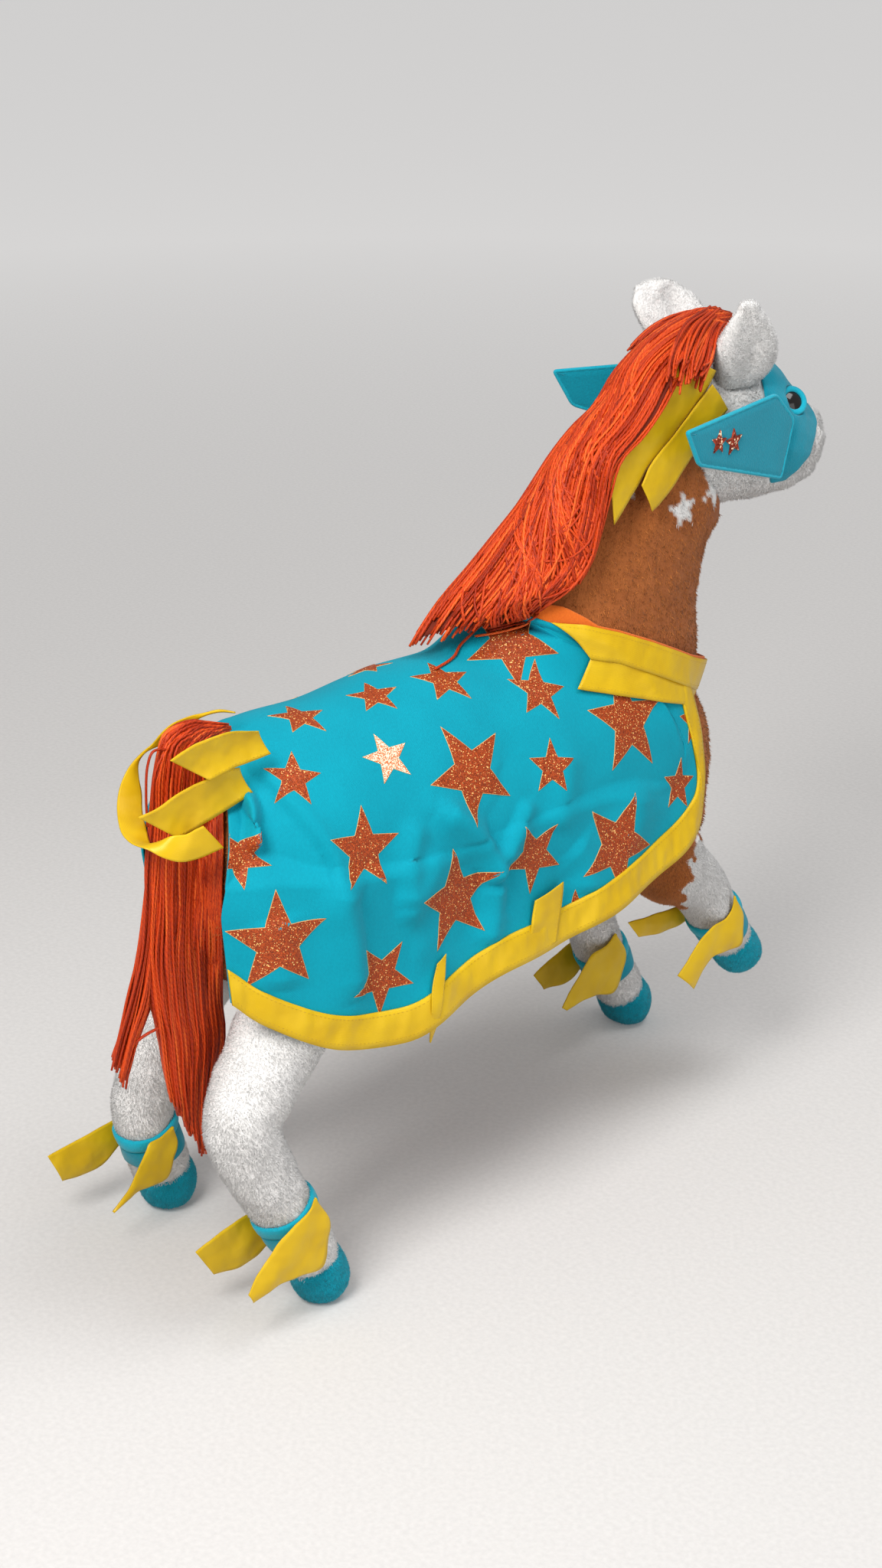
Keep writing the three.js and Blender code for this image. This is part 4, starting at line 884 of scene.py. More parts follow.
# Each leg's side, radius, height of the cuff in radii, and stations: across, along, up, and width in radii
LEGS = {
    "hind_right": (-1, 31.0, 1.6, [
        [0.345, -0.057, 0.634, 0.97], [0.365, -0.007, 0.53, 0.9], [0.41, 0.068, 0.43, 0.79],
        [0.432, 0.093, 0.385, 0.72], [0.446, 0.066, 0.274, 0.655], [0.46, 0.042, 0.214, 0.6],
        [0.48, 0.011, 0.131, 0.57], [0.5, -0.017, 0.05, 0.535]]),
    "hind_left": (1, 31.0, 1.35, [
        [0.24, -0.07, 0.634, 0.92], [0.29, -0.045, 0.53, 0.8], [0.39, -0.008, 0.41, 0.72], [0.46, 0.018, 0.334, 0.65],
        [0.486, 0.027, 0.268, 0.63], [0.493, 0.031, 0.197, 0.6], [0.495, 0.014, 0.123, 0.58],
        [0.5, -0.008, 0.05, 0.565]]),
    "front_left": (1, 30.0, 1.65, [
        [0.31, -0.732, 0.614, 0.97], [0.335, -0.76, 0.5, 0.85], [0.35, -0.79, 0.4, 0.72], [0.36, -0.815, 0.31, 0.61],
        [0.364, -0.836, 0.23, 0.575], [0.365, -0.865, 0.163, 0.57], [0.365, -0.892, 0.1, 0.58],
        [0.365, -0.916, 0.05, 0.585]]),
    "front_right": (-1, 30.0, 1.2, [
        [0.31, -0.72, 0.60, 0.97], [0.338, -0.75, 0.521, 0.86], [0.351, -0.785, 0.486, 0.72],
        [0.36, -0.816, 0.447, 0.62], [0.365, -0.843, 0.394, 0.56], [0.365, -0.865, 0.355, 0.54],
        [0.365, -0.89, 0.31, 0.525], [0.365, -0.907, 0.28, 0.515]]),
}
SPREAD, SOLE = 148.0, 1.4


def leg_stations(name):
    """A leg's stations for stuffed, with a round end that is let down a little below the floor where it stands."""
    side, radius, _, path = LEGS[name]
    S = np.array([[side * a * SPREAD, b * LENGTH, c * BACK, r * radius, r * radius, radius] for a, b, c, r in path])
    S[-1, 5] = S[-1, 3]
    if name != "front_right":
        for _ in range(3):
            low = stuffed(S, 14, 9, 2)[0][:, 2].min()
            S[-1, 2] -= low + SOLE
    return S


torso_part = stuffed_object("torso_part", TORSO, 96, 90, 10)

# Where the collar lies: a wall round the neck, on which the photo's edges of the collar are found
points, faces = neck_form()
neck_part = closed_object("neck_part", metres(points), faces)
neck_tree = tree_of(neck_part)
TILT = math.radians(24)
COLLAR_UP = np.array([0, -math.sin(TILT), math.cos(TILT)])
COLLAR_AT = np.array([0, -0.8 * REACH, 0.795 * HEAD_HEIGHT])
RING_Y = np.cross(COLLAR_UP, [1.0, 0, 0])
COLLAR_EDGES = {
    "top": [(720, 813), (764, 816), (808, 825.5), (852, 838.5), (885, 850), (906, 858)],
    "middle": [(771.5, 861), (808, 866), (852, 880), (885, 892), (906, 900)],
    "low": [(754.5, 900), (793.5, 906), (837.5, 912.5), (881.5, 918.5), (906, 921)],
    "lining": [(708, 787.5), (735, 792), (764, 806.5), (784.5, 819.5)],
}
RING_TURNS = np.linspace(-math.pi, math.pi, 181)


def ring_way(turn):
    """The way out from the collar's middle: 0 is the front, and the horse's right is positive."""
    turn = np.asarray(turn, float)[..., None]
    return -RING_Y * np.cos(turn) - np.array([1.0, 0, 0]) * np.sin(turn)


WALL_REACH = 60
WALL_HEIGHTS = np.linspace(-WALL_REACH, WALL_REACH, 41)


def wall_radii(tree, clear, reach=160.0):
    """How far out a surface lies all round the collar, at each turn and height; 0 where there is none."""
    made = np.zeros((len(RING_TURNS), len(WALL_HEIGHTS)))
    for i, d in enumerate(ring_way(RING_TURNS)):
        for j, h in enumerate(WALL_HEIGHTS):
            start = COLLAR_AT + COLLAR_UP * h
            hit = tree.ray_cast(Vector(metres(start + d * reach)), Vector(-d), reach * 0.001)[0]
            if hit is not None:
                made[i, j] = (mm_of(hit) - start) @ d + clear
    return made


def soft_wall(radii, rounds):
    """The same wall without dents."""
    for _ in range(rounds):
        wide = np.pad(radii, ((4, 4), (2, 2)), "edge")
        wide[:4], wide[-4:] = wide[-9:-5], wide[5:9]
        mean = sum(wide[i:i + len(radii), 2:-2] for i in range(9)) / 9
        radii = np.maximum(radii, mean)
    return radii


MIDDLE_HEIGHT = len(WALL_HEIGHTS) // 2
BARE_WALL = np.repeat(wall_radii(neck_tree, 3.0)[:, [MIDDLE_HEIGHT]], len(WALL_HEIGHTS), 1)
BARE_WALL = soft_wall(BARE_WALL, 3)


def ring_place(turn, height, lift, wall=BARE_WALL):
    """A place on the wall round the neck, or lifted from it."""
    turn, height = np.asarray(turn, float), np.asarray(height, float)
    i = (turn + math.pi) / (2 * math.pi) * (len(RING_TURNS) - 1)
    j = (height + WALL_REACH) / (2 * WALL_REACH) * (len(WALL_HEIGHTS) - 1)
    r = between(wall, i, j) + lift
    return COLLAR_AT + COLLAR_UP * height[..., None] + ring_way(turn) * r[..., None]


def ring_edges(wall):
    """Turns and heights on a wall round the neck of the collar's edges in the photo."""
    turn, height = np.meshgrid(RING_TURNS, WALL_HEIGHTS, indexing="ij")
    places = metres(ring_place(turn, height, 0, wall).reshape(-1, 3))
    tree = BVHTree.FromPolygons([Vector(p) for p in places], grid_faces(len(RING_TURNS), len(WALL_HEIGHTS)).tolist())
    edges = {}
    for name, pixels in COLLAR_EDGES.items():
        made = []
        for d in sight(np.array(pixels, float)):
            hit = met(tree, d)
            if hit is not None:
                p = hit - COLLAR_AT
                made.append((math.atan2(-p[0], -(p @ RING_Y)), p @ COLLAR_UP))
        edges[name] = np.array(sorted(made))
    return edges


EDGES = ring_edges(BARE_WALL)


def edge_height(which, turn, edges=EDGES):
    e = edges[which]
    return np.interp(np.abs(turn), e[:, 0], e[:, 1])


# The rug

def torso_table():
    """The torso's middle and half sizes along it, from front to rear."""
    t = np.linspace(0, 1, 1500)
    size = spline(np.c_[TORSO[:, 1], TORSO[:, 3], TORSO[:, 4]])(t)
    middle = spline(np.c_[TORSO[:, 1], TORSO[:, 2], TORSO[:, 0]])(t)
    order = np.argsort(middle[:, 0])
    return middle[order], size[order]


TABLE = torso_table()


def torso_at(y):
    """The torso's middle height, its bend aside, and its half width and half depth at y."""
    middle, size = TABLE
    f = lambda column: np.interp(y, middle[:, 0], column)
    past = np.clip((TORSO[-1, 1] - y) / (LENGTH * 0.042), 0, 0.95)
    shrink = np.sqrt(1 - past ** 2)
    return f(middle[:, 1]), f(middle[:, 2]), f(size[:, 1]) * shrink, f(size[:, 2]) * shrink


HEM = spline([[out * 83, a * LENGTH, h * BACK] for a, h, out in [
    [0.11, 0.62, 0.66], [0.066, 0.571, 0.8], [-0.03, 0.5, 0.95], [-0.13, 0.474, 1.0], [-0.22, 0.49, 1.0],
    [-0.32, 0.524, 1.0], [-0.432, 0.529, 1.02], [-0.533, 0.551, 1.03], [-0.635, 0.575, 1.0], [-0.72, 0.602, 0.9],
    [-0.79, 0.646, 0.84], [-0.842, 0.69, 0.8], [-0.875, 0.745, 0.76]]])
ridge_y = LENGTH * np.array([0.015, -0.045, -0.11, -0.17, -0.24, -0.32, -0.40, -0.46, -0.505, -0.535, -0.555, -0.57,
                             -0.58])
ridge_here = torso_at(ridge_y)
RIDGE = spline(np.c_[ridge_y * 0, ridge_y, ridge_here[0] + ridge_here[3]])
# The turn round the neck at which the rug ends, and how far from the tail it starts to rise to the collar
NECKLINE_END, NECKLINE_START = 0.86, 0.78
# The share of the way from ridge to hem at which the rug turns down, its waves along the hem, and how much further to
# the front it hangs at the left rear
TURNED_DOWN, HEM_WAVES, LEFT_SKEW = 0.52, 6.5, 36


def rug_place(v, u, side):
    """A place on the middle of the rug's cloth: v from tail to chest, u from the ridge at 0 to the hem at 1."""
    v, u, side = np.broadcast_arrays(np.asarray(v, float), np.asarray(u, float), np.asarray(side, float))
    turn = (math.pi - (math.pi - NECKLINE_END) * u) * -side
    drop = 1.0 + 5.0 * np.clip((EDGES["top"][-1, 0] - np.abs(turn)) / 0.3, 0, 1)
    at_neck = ring_place(turn, edge_height("top", turn) - drop, -1.0)
    share = np.clip((v - NECKLINE_START) / (1 - NECKLINE_START), 0, 1)
    share = (share * share * (3 - 2 * share))[..., None]
    return draped(v, u, side) + share * (at_neck - draped(np.ones(v.shape), u, side))


def draped(v, u, side):
    """A place on the cloth as it lies over the back, before it is drawn up to the collar."""
    v, u, side = np.broadcast_arrays(np.asarray(v, float), np.asarray(u, float), np.asarray(side, float))
    hem, ridge = HEM(v), RIDGE(v)
    y0 = ridge[..., 1] + (hem[..., 1] - ridge[..., 1]) * (1 - (1 - np.minimum(1, u / 0.62)) ** 1.35)
    middle, bend, width, depth = torso_at(y0)
    clear = 0.9 + RUG_THICK / 2
    widest = np.maximum(width + clear, hem[..., 0] * 0.93 * np.minimum(1, u * 2))
    y = y0 - np.where(side > 0, LEFT_SKEW * u * (1 - v) ** 2, 0)
    top = middle + depth + clear
    low = np.maximum(middle, hem[..., 2] + (top - hem[..., 2]) * 0.3)
    angle = np.pi / 2 * np.minimum(u / TURNED_DOWN, 1)
    down = np.clip((u - TURNED_DOWN) / (1 - TURNED_DOWN), 0, 1)
    wave = 0.5 + 0.5 * np.cos(2 * np.pi * (v * HEM_WAVES + 0.2 * down))
    x = np.where(u < TURNED_DOWN, widest * np.sin(angle),
                 widest + (hem[..., 0] - widest) * down ** 2 + 5 * wave * down * np.minimum(1, (1 - v) * 5))
    z = np.where(u < TURNED_DOWN, low + (top - low) * np.cos(angle), low + (hem[..., 2] - low) * down)
    return np.stack([bend + side * x, y, z], -1)


FOLD_DEPTH = 2.3  # all the folds' heights are times this
# Folds in the cloth: places from tail to chest and from ridge to hem, half width in mm, and height in mm
FOLDS = [
    ([(0.183, 0.49), (0.18, 0.56), (0.187, 0.633), (0.19, 0.74), (0.19, 0.86)], 11.0, 3.4),
    ([(0.235, 0.50), (0.235, 0.60), (0.24, 0.72), (0.235, 0.84)], 13.0, -2.4),
    ([(0.30, 0.39), (0.283, 0.457), (0.272, 0.527), (0.268, 0.60)], 9.0, 2.2),
    ([(0.33, 0.38), (0.363, 0.43), (0.393, 0.49), (0.413, 0.59), (0.415, 0.66)], 9.0, 4.0),
    ([(0.473, 0.43), (0.447, 0.50), (0.425, 0.583)], 9.0, 3.0),
    ([(0.46, 0.337), (0.46, 0.41), (0.435, 0.475), (0.405, 0.50)], 11.0, -3.0),
    ([(0.38, 0.55), (0.365, 0.64), (0.36, 0.75)], 12.0, -2.0),
    ([(0.455, 0.60), (0.45, 0.70), (0.445, 0.82)], 12.0, -2.0),
    ([(0.415, 0.66), (0.41, 0.76), (0.40, 0.88)], 9.0, 2.4),
    ([(0.33, 0.48), (0.30, 0.56), (0.262, 0.65)], 10.0, 1.8),
    ([(0.55, 0.36), (0.53, 0.45), (0.50, 0.54)], 12.0, 1.6),
    ([(0.53, 0.62), (0.55, 0.74), (0.545, 0.86)], 13.0, 1.8),
    ([(0.66, 0.50), (0.64, 0.60), (0.61, 0.72)], 14.0, 1.5),
    ([(0.047, 0.20), (0.063, 0.277), (0.055, 0.34), (0.06, 0.40)], 5.0, 5.5),
    ([(0.075, 0.21), (0.088, 0.30), (0.085, 0.38)], 5.0, -2.5),
    ([(0.02, 0.24), (0.028, 0.33), (0.02, 0.42)], 5.0, -2.5),
    ([(0.10, 0.60), (0.105, 0.72), (0.10, 0.86)], 13.0, 2.0),
    ([(0.047, 0.137), (0.10, 0.277), (0.14, 0.387), (0.163, 0.453), (0.167, 0.5)], 1.3, -1.3),
    ([(0.062, 0.12), (0.112, 0.262), (0.152, 0.375), (0.173, 0.445), (0.175, 0.5)], 5.5, 1.2),
]


RUG_COLUMNS, RUG_ROWS = 230, 241
rug_push = np.zeros((RUG_COLUMNS, RUG_ROWS, 3))


def pushed(v, u, side):
    """How far the cloth is kept off the skin near the neck."""
    i = np.asarray(v) * (RUG_COLUMNS - 1)
    j = (np.asarray(side) * np.asarray(u) + 1) / 2 * (RUG_ROWS - 1)
    return between(rug_push, i, j)


def rug_grid(v, u, side):
    """Middle places of the cloth with its folds, and the outward normals."""
    P = rug_place(v, u, side)
    step = 0.004
    along = rug_place(np.minimum(v + step, 1), u, side) - rug_place(np.maximum(v - step, 0), u, side)
    lo, hi = np.maximum(u - step, 0), np.minimum(u + step, 1)
    down = rug_place(v, hi, side) - rug_place(v, lo, side)
    n = unit(np.cross(along, down)) * np.asarray(side)[..., None]
    n = np.where((u < 1e-6)[..., None], [0.0, 0.0, 1.0], n)
    lift = np.zeros(P.shape[:-1])
    for line, wide, high in FOLDS:
        L = np.array(line)
        for mirror, share, shift in ((-1, 1.0, 0.0), (1, 0.8, 0.035)):
            route = spline(rug_place(np.clip(L[:, 0] + shift, 0, 1), L[:, 1], mirror))(np.linspace(0, 1, 40))
            gap = np.linalg.norm(P[..., None, :] - route, axis=-1)
            near = gap.argmin(-1)
            t = near / 39.0
            fade = np.clip(np.minimum(t, 1 - t) * 5 + 0.25, 0, 1)
            lift += share * FOLD_DEPTH * high * np.exp(-(gap.min(-1) / wide) ** 2) * fade
    lift += 0.5 * wobble_grid(P, 0.05, 11) * np.clip(u * 2, 0.2, 1)
    # the cloth hangs straight from the back to the withers
    lift += 4.5 * np.exp(-((v - 0.42) / 0.1) ** 2 - (u / 0.3) ** 2)
    return P + pushed(v, u, side), n, lift


def rug_top(lift):
    """How far the outer face of the rug is from the middle of its cloth."""
    return RUG_THICK / 2 + np.maximum(lift, -0.6)


def smoothed(step, reach=3):
    """Each place's mean with its neighbours on the grid."""
    wide = np.pad(step, ((reach, reach), (reach, reach), (0, 0)), "edge")
    count = 2 * reach + 1
    return sum(wide[a:a + len(step), b:b + step.shape[1]] for a in range(count) for b in range(count)) / count ** 2


def clear_of_body(P, V, clearance=2.4, rounds=3):
    """Near the neck the cloth bridges the hollow, and is kept outside the skin."""
    made = P.copy()
    torso_tree = tree_of(torso_part)
    near = np.argwhere(V > 0.3)
    for _ in range(rounds):
        for i, j in near:
            for tree in (neck_tree, torso_tree):
                spot, normal, _, _ = tree.find_nearest(Vector(metres(made[i, j])))
                normal = np.array(normal)
                over = (metres(made[i, j]) - np.array(spot)) @ normal * 1000
                if over < clearance:
                    made[i, j] += normal * (clearance - over)
        step = made - P
        mean = smoothed(step)
        made = P + np.where((np.linalg.norm(mean, axis=-1) > np.linalg.norm(step, axis=-1))[..., None], mean, step)
    return P + 1.1 * smoothed(smoothed(made - P))


V, across = np.meshgrid(np.linspace(0, 1, RUG_COLUMNS), np.linspace(-1, 1, RUG_ROWS), indexing="ij")
P, N, lift = rug_grid(V, np.abs(across), np.where(across < 0, -1.0, 1.0))
rug_push[:] = clear_of_body(P, V) - P
P = P + rug_push
rug_out = metres(P + N * rug_top(lift)[..., None])
rug_in = metres(P + N * (RUG_THICK / 2 - 1.3 + np.maximum(lift, -0.6))[..., None])
rug = closed_object("rug_cloth", *shell(rug_out, rug_in))
dress(rug, RUG, "body")
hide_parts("rug")
rug_tree = tree_of(rug)

# Stars: a place from tail to chest and from ridge to hem, or else a pixel of the photo; side, radius in mm, turn of a
# tip from the front towards the top, and 1 for the bright one
STARS = [
    (0.167, 0.047, -1, 18.7, 147.2, 0), (0.323, 0.060, -1, 16.9, 142.0, 0), (579, 888, -1, 20.7, 147.9, 0),
    (703, 903, -1, 21.5, 67.0, 0), (0.123, 0.233, -1, 17.9, 63.7, 0), (0.280, 0.240, -1, 17.1, 89.6, 1),
    (617, 1010, -1, 33.3, 105.3, 0), (721.5, 1002, -1, 18.0, 74.8, 0), (0.213, 0.433, -1, 25.8, 79.1, 0),
    (806, 1103, -1, 35.0, 55.0, 0), (697, 1117, -1, 24.3, 41.3, 0), (593.5, 1174, -1, 32.9, 91.3, 0),
    (0.103, 0.687, -1, 31.6, 86.7, 0), (0.400, 0.070, 1, 15.7, 107.7, 0), (667, 838, -1, 31.0, 36.0, 0),
    (820, 942, -1, 35.5, -133.0, 0), (905, 940, -1, 17.0, -128.9, 0), (885, 1025, -1, 17.8, 75.3, 0),
    (0.030, 0.400, -1, 18.8, 40.3, 0), (0.230, 0.793, -1, 24.1, 118.3, 0), (0.530, 0.90, -1, 13.0, 20.0, 0),
    (0.10, 0.26, 1, 19.0, 70.0, 0), (0.24, 0.20, 1, 17.0, 95.0, 0), (0.20, 0.47, 1, 30.0, 85.0, 0),
    (0.34, 0.36, 1, 22.0, 60.0, 0), (0.47, 0.26, 1, 18.0, 100.0, 0), (0.36, 0.68, 1, 27.0, 75.0, 0),
    (0.50, 0.48, 1, 31.0, 50.0, 0), (0.64, 0.24, 1, 24.0, 88.0, 0), (0.10, 0.70, 1, 26.0, 98.0, 0),
    (0.50, 0.76, 1, 22.0, 62.0, 0), (0.67, 0.50, 1, 20.0, 80.0, 0), (0.63, 0.72, 1, 25.0, 40.0, 0),
    (0.79, 0.36, 1, 17.0, 66.0, 0), (0.24, 0.80, 1, 20.0, 30.0, 0), (0.76, 0.60, 1, 17.0, 95.0, 0),
]


STAR_DIP = 0.42  # the radius of the inner corners, in that of the tips


def star_on(tree, centre, normal, radius, turn, rise=0.28, edge=0.28, rings=9, cuts=6):
    """A flat star let down on a surface. Returns points in metres, faces, and how far out each face is."""
    n = unit(normal)
    t1 = unit(np.cross(n, np.cross([0.0, -1.0, 0.0], n)))
    t2 = np.cross(n, t1)
    corners = []
    for i in range(10):
        r = radius * (STAR_DIP if i % 2 else 1.0)
        a = math.radians(turn) + math.pi * i / 5
        corners.append((r * math.cos(a), r * math.sin(a)))
    outline = []
    for i in range(10):
        a, b = np.array(corners[i]), np.array(corners[(i + 1) % 10])
        for k in range(cuts):
            outline.append(a + (b - a) * k / cuts)
    outline = np.array(outline)
    count = len(outline)

    def down_on(p, up):
        place = centre + t1 * p[0] + t2 * p[1]
        hit, nrm, _, _ = tree.ray_cast(Vector(metres(place + n * 14)), Vector(-n), 0.035)
        if hit is None:
            hit, nrm, _, _ = tree.find_nearest(Vector(metres(place)))
        nrm = np.array(nrm) if np.array(nrm) @ n > 0 else -np.array(nrm)
        return np.array(hit) + nrm * up * 0.001

    shares = list(np.linspace(0.12, 0.975, rings)) + [1.0, 1.0]
    layers = [[down_on(p, rise if k <= rings else rise - edge) for p in outline * share]
              for k, share in enumerate(shares)]
    points = np.vstack([np.array(layers).reshape(-1, 3), down_on(np.zeros(2), rise)])
    quads = grid_faces(len(layers), count, around=True)
    i = np.arange(count)
    tris = np.c_[i, (i + 1) % count, np.full(count, len(points) - 1)]
    rim = (np.arange(len(quads)) // count) >= rings - 1
    return points, quads, tris, rim


def star_set(name, bright, material):
    points, quads, tris, rims, base = [], [], [], [], 0
    for v, u, side, radius, turn, kind in STARS:
        if kind != bright:
            continue
        if v > 1:
            hit, n, _, _ = rug_tree.ray_cast(Vector(metres(CAMERA)), Vector(sight((v, u))))
            centre = mm_of(hit)
        else:
            P1, n1, l1 = rug_grid(np.array([v]), np.array([u]), np.array([float(side)]))
            centre, n = P1[0] + n1[0] * rug_top(l1[0]), n1[0]
        p, q, t, rim = star_on(rug_tree, centre, n, radius, turn)
        points.append(p)
        quads.append(q + base)
        tris.append(t + base)
        rims.append(rim)
        base += len(p)
    obj = closed_object(name, np.vstack(points), [np.vstack(quads), np.vstack(tris)])
    dress(obj, [material, STAR_EDGE], "body")
    rims = np.concatenate(rims)
    give_second(obj, np.r_[rims, np.zeros(len(obj.data.polygons) - len(rims), bool)])


star_set("rug_stars", 0, GLITTER)
star_set("rug_star_bright", 1, BRIGHT_GLITTER)

# Satin binding along the hem
BINDING_WIDTH = 21.0
for label, side in (("right", -1), ("left", 1)):
    columns, levels = 210, 9
    v = np.linspace(0.0, 0.985, columns)
    u = np.linspace(1, 0.2, 120)
    tops = [np.interp(BINDING_WIDTH, run_of(rug_place(np.full(len(u), k), u, float(side))), u) for k in v]
    U = np.array([np.linspace(1.0, top, levels) for top in tops])
    P1, n1, l1 = rug_grid(np.repeat(v[:, None], levels, 1), U, np.full(U.shape, float(side)))
    level = np.linspace(0, 1, levels)[None]
    pucker = wobble(metres(P1.reshape(-1, 3)) * [1, 1, 0.35], 0.016, 21).reshape(l1.shape)
    puff = 1.25 + 0.75 * np.sin(np.pi * level) ** 0.6 + 0.95 * pucker * np.sin(np.pi * level)
    hang = unit(np.gradient(P1, axis=1)) * np.where(level < 0.08, 1.2, 0.0)[..., None]
    outer = P1 + n1 * (rug_top(l1) + puff)[..., None] - hang
    inner = P1 + n1 * (rug_top(l1) + 0.15)[..., None] - hang
    sewing = stitches([(metres(outer[:, k] + n1[:, k] * 0.1), n1[:, k]) for k in (1, levels - 2)], 1.7, 1.2, 0.36)
    uv = np.stack(np.broadcast_arrays(level * 0.021, run_of(P1[:, 0])[:, None] * 0.001), -1).reshape(-1, 2)
    strip("binding_satin_" + label, metres(outer), metres(inner), uv, sewing, "body", ["binding_" + label])

# Ribbons that hang over the hem, by the edges that the photo shows; the left ones are the same, turned about
GIRTH = {
    "rear": ([(572, 1259), (565, 1290), (563.5, 1319), (560.5, 1360)],
             [(583, 1245.5), (580, 1284), (575.5, 1325), (562.5, 1361)]),
    "front": ([(699, 1176.5), (696, 1194), (694, 1211), (689.4, 1256)],
              [(735.6, 1151.5), (733.7, 1174.6), (729.8, 1203.5), (726.9, 1229.5)]),
}
HEM_OUT = -91.0
for name, edges in GIRTH.items():
    edges = [laid(e, HEM_OUT, rug_tree, 3.4) for e in edges]
    for label, across_body in (("right", [1.0, 1.0, 1.0]), ("left", [-1.0, 1.0, 1.0])):
        satin(f"girth_satin_{name}_{label}", edges[0] * across_body, edges[1] * across_body, "body",
              [f"girth_ribbon_{name}_{label}"], ripple=0.6, seed=31)

# Body skin: torso and neck sewn together, drawn in where the rug lies on it
CHEST = np.array([[s * 33.0, -352.0, 205.0 + k * 30.0, 21.0, 21.0, 21.0] for s in (-1,) for k in (0, 1, 2)])
parts = [torso_part, neck_part]
for s in (-1, 1):
    parts.append(stuffed_object("chest_part", CHEST * [-s, 1, 1, 1, 1, 1], 32, 20, 6))
body_skin = joined("body_skin", parts)
remeshed(body_skin, 0.0034, 8)
co, vn = points_of(body_skin), normals_of(body_skin)


def under_rug(co, vn):
    """1 where the rug lies close outside the skin."""
    made = np.zeros(len(co))
    for i, (p, n) in enumerate(zip(co, vn)):
        hit = rug_tree.ray_cast(Vector(p - n * 0.010), Vector(n), 0.028)[0]
        made[i] = hit is not None
    return made


covered = under_rug(co, vn)
DRAWN_IN = 0.0058
move_points(body_skin, co - vn * (covered * DRAWN_IN)[:, None] + vn * (wobble(co, 0.045, 5) * 0.0009)[:, None])

# White stars let into the brown neck: places along and up in mm, radius, and turn of a tip
NECK_STARS = [(-346.0, 421.0, 14.5, 96.0), (-377.0, 429.0, 15.0, 60.0), (-307.0, 440.0, 10.0, 84.0)]


def in_star(y, z, star):
    """Whether places on the side of the neck are inside a star."""
    cy, cz, radius, turn = star
    dy, dz = -(y - cy), z - cz
    r = np.hypot(dy, dz)
    a = (np.arctan2(dz, dy) - math.radians(turn)) % (2 * np.pi / 5)
    a = np.abs(a - np.pi / 5)
    a = np.pi / 5 - a
    tip, dip = np.array([1.0, 0.0]), STAR_DIP * np.array([math.cos(math.pi / 5), math.sin(math.pi / 5)])
    x, y2 = r / radius * np.cos(a), r / radius * np.sin(a)
    edge = (dip[0] - tip[0]) * (y2 - tip[1]) - (dip[1] - tip[1]) * (x - tip[0])
    return edge > 0


def body_patch(co):
    """White share of the brown skin: stars on the right of the neck, and the same on the left."""
    mm = mm_of(co)
    white = np.zeros(len(co))
    for star in NECK_STARS:
        white = np.maximum(white, in_star(mm[:, 1], mm[:, 2], star) & (np.abs(mm[:, 0]) > 18))
    return white.astype(float)


tint_skin(body_skin, body_patch)
dress(body_skin, BROWN, None)
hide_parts("torso", "neck")


def body_way(p):
    """The pile lies down the neck and back along the body."""
    high = np.clip((mm_of(p)[:, 2] - 300) / 80, 0, 1)[:, None]
    return high * np.array([[0.0, 0.35, -1.0]]) + (1 - high) * np.array([[0.0, 1.0, -0.55]])


def body_cover(middle, normal):
    hidden = under_rug(middle, normal)
    mm = mm_of(middle)
    top = (mm[:, 2] > 404) & (np.hypot(mm[:, 0], mm[:, 1] + REACH) < 34)
    return np.where((hidden > 0) | top, 0.0, 1.0)


body_pile = pile("body_pile", body_skin, 66000, 3.4, uneven_nap(body_way, 0.3, 0.03, 41), body_cover, body_patch,
                 lean=0.45, width=0.6, seed=51, spread=0.35, clump=0.7)
dress(body_pile, BROWN, None)
for o in (body_skin, body_pile):
    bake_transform(o)

# Legs
HOOF_HEIGHT = 31.0
down_nap = uneven_nap([0.0, 0.1, -1.0], 0.4, 0.02, 44)

# Where brown meets white at the top of each leg: two pixels on the line, and the brown is above it
BROWN_LINE = {"hind_right": ((380, 1330), (450, 1374)), "hind_left": ((130, 1290), (250, 1275)),
              "front_left": ((700, 1195), (800, 1170)), "front_right": ((894, 1171), (911, 1098))}


def above_line(name, co):
    """How far places are above the line, in mm, as the photo's camera sees them."""
    a, b = seen(np.array(BROWN_LINE[name], float), -60.0)
    n = unit(np.cross(b - a, a - CAMERA))
    if n[2] < 0:
        n = -n
    return (mm_of(co) - a) @ n


def leg_place(S, distance):
    """The place on a leg's line at a distance in mm from its end, and the way on from it."""
    line, t = spline(S[:, :3]), np.linspace(0, 1, 400)
    run = run_of(line(t))
    s = np.interp(run[-1] - distance, run, t)
    return line(s), along_of(line, np.array(s))


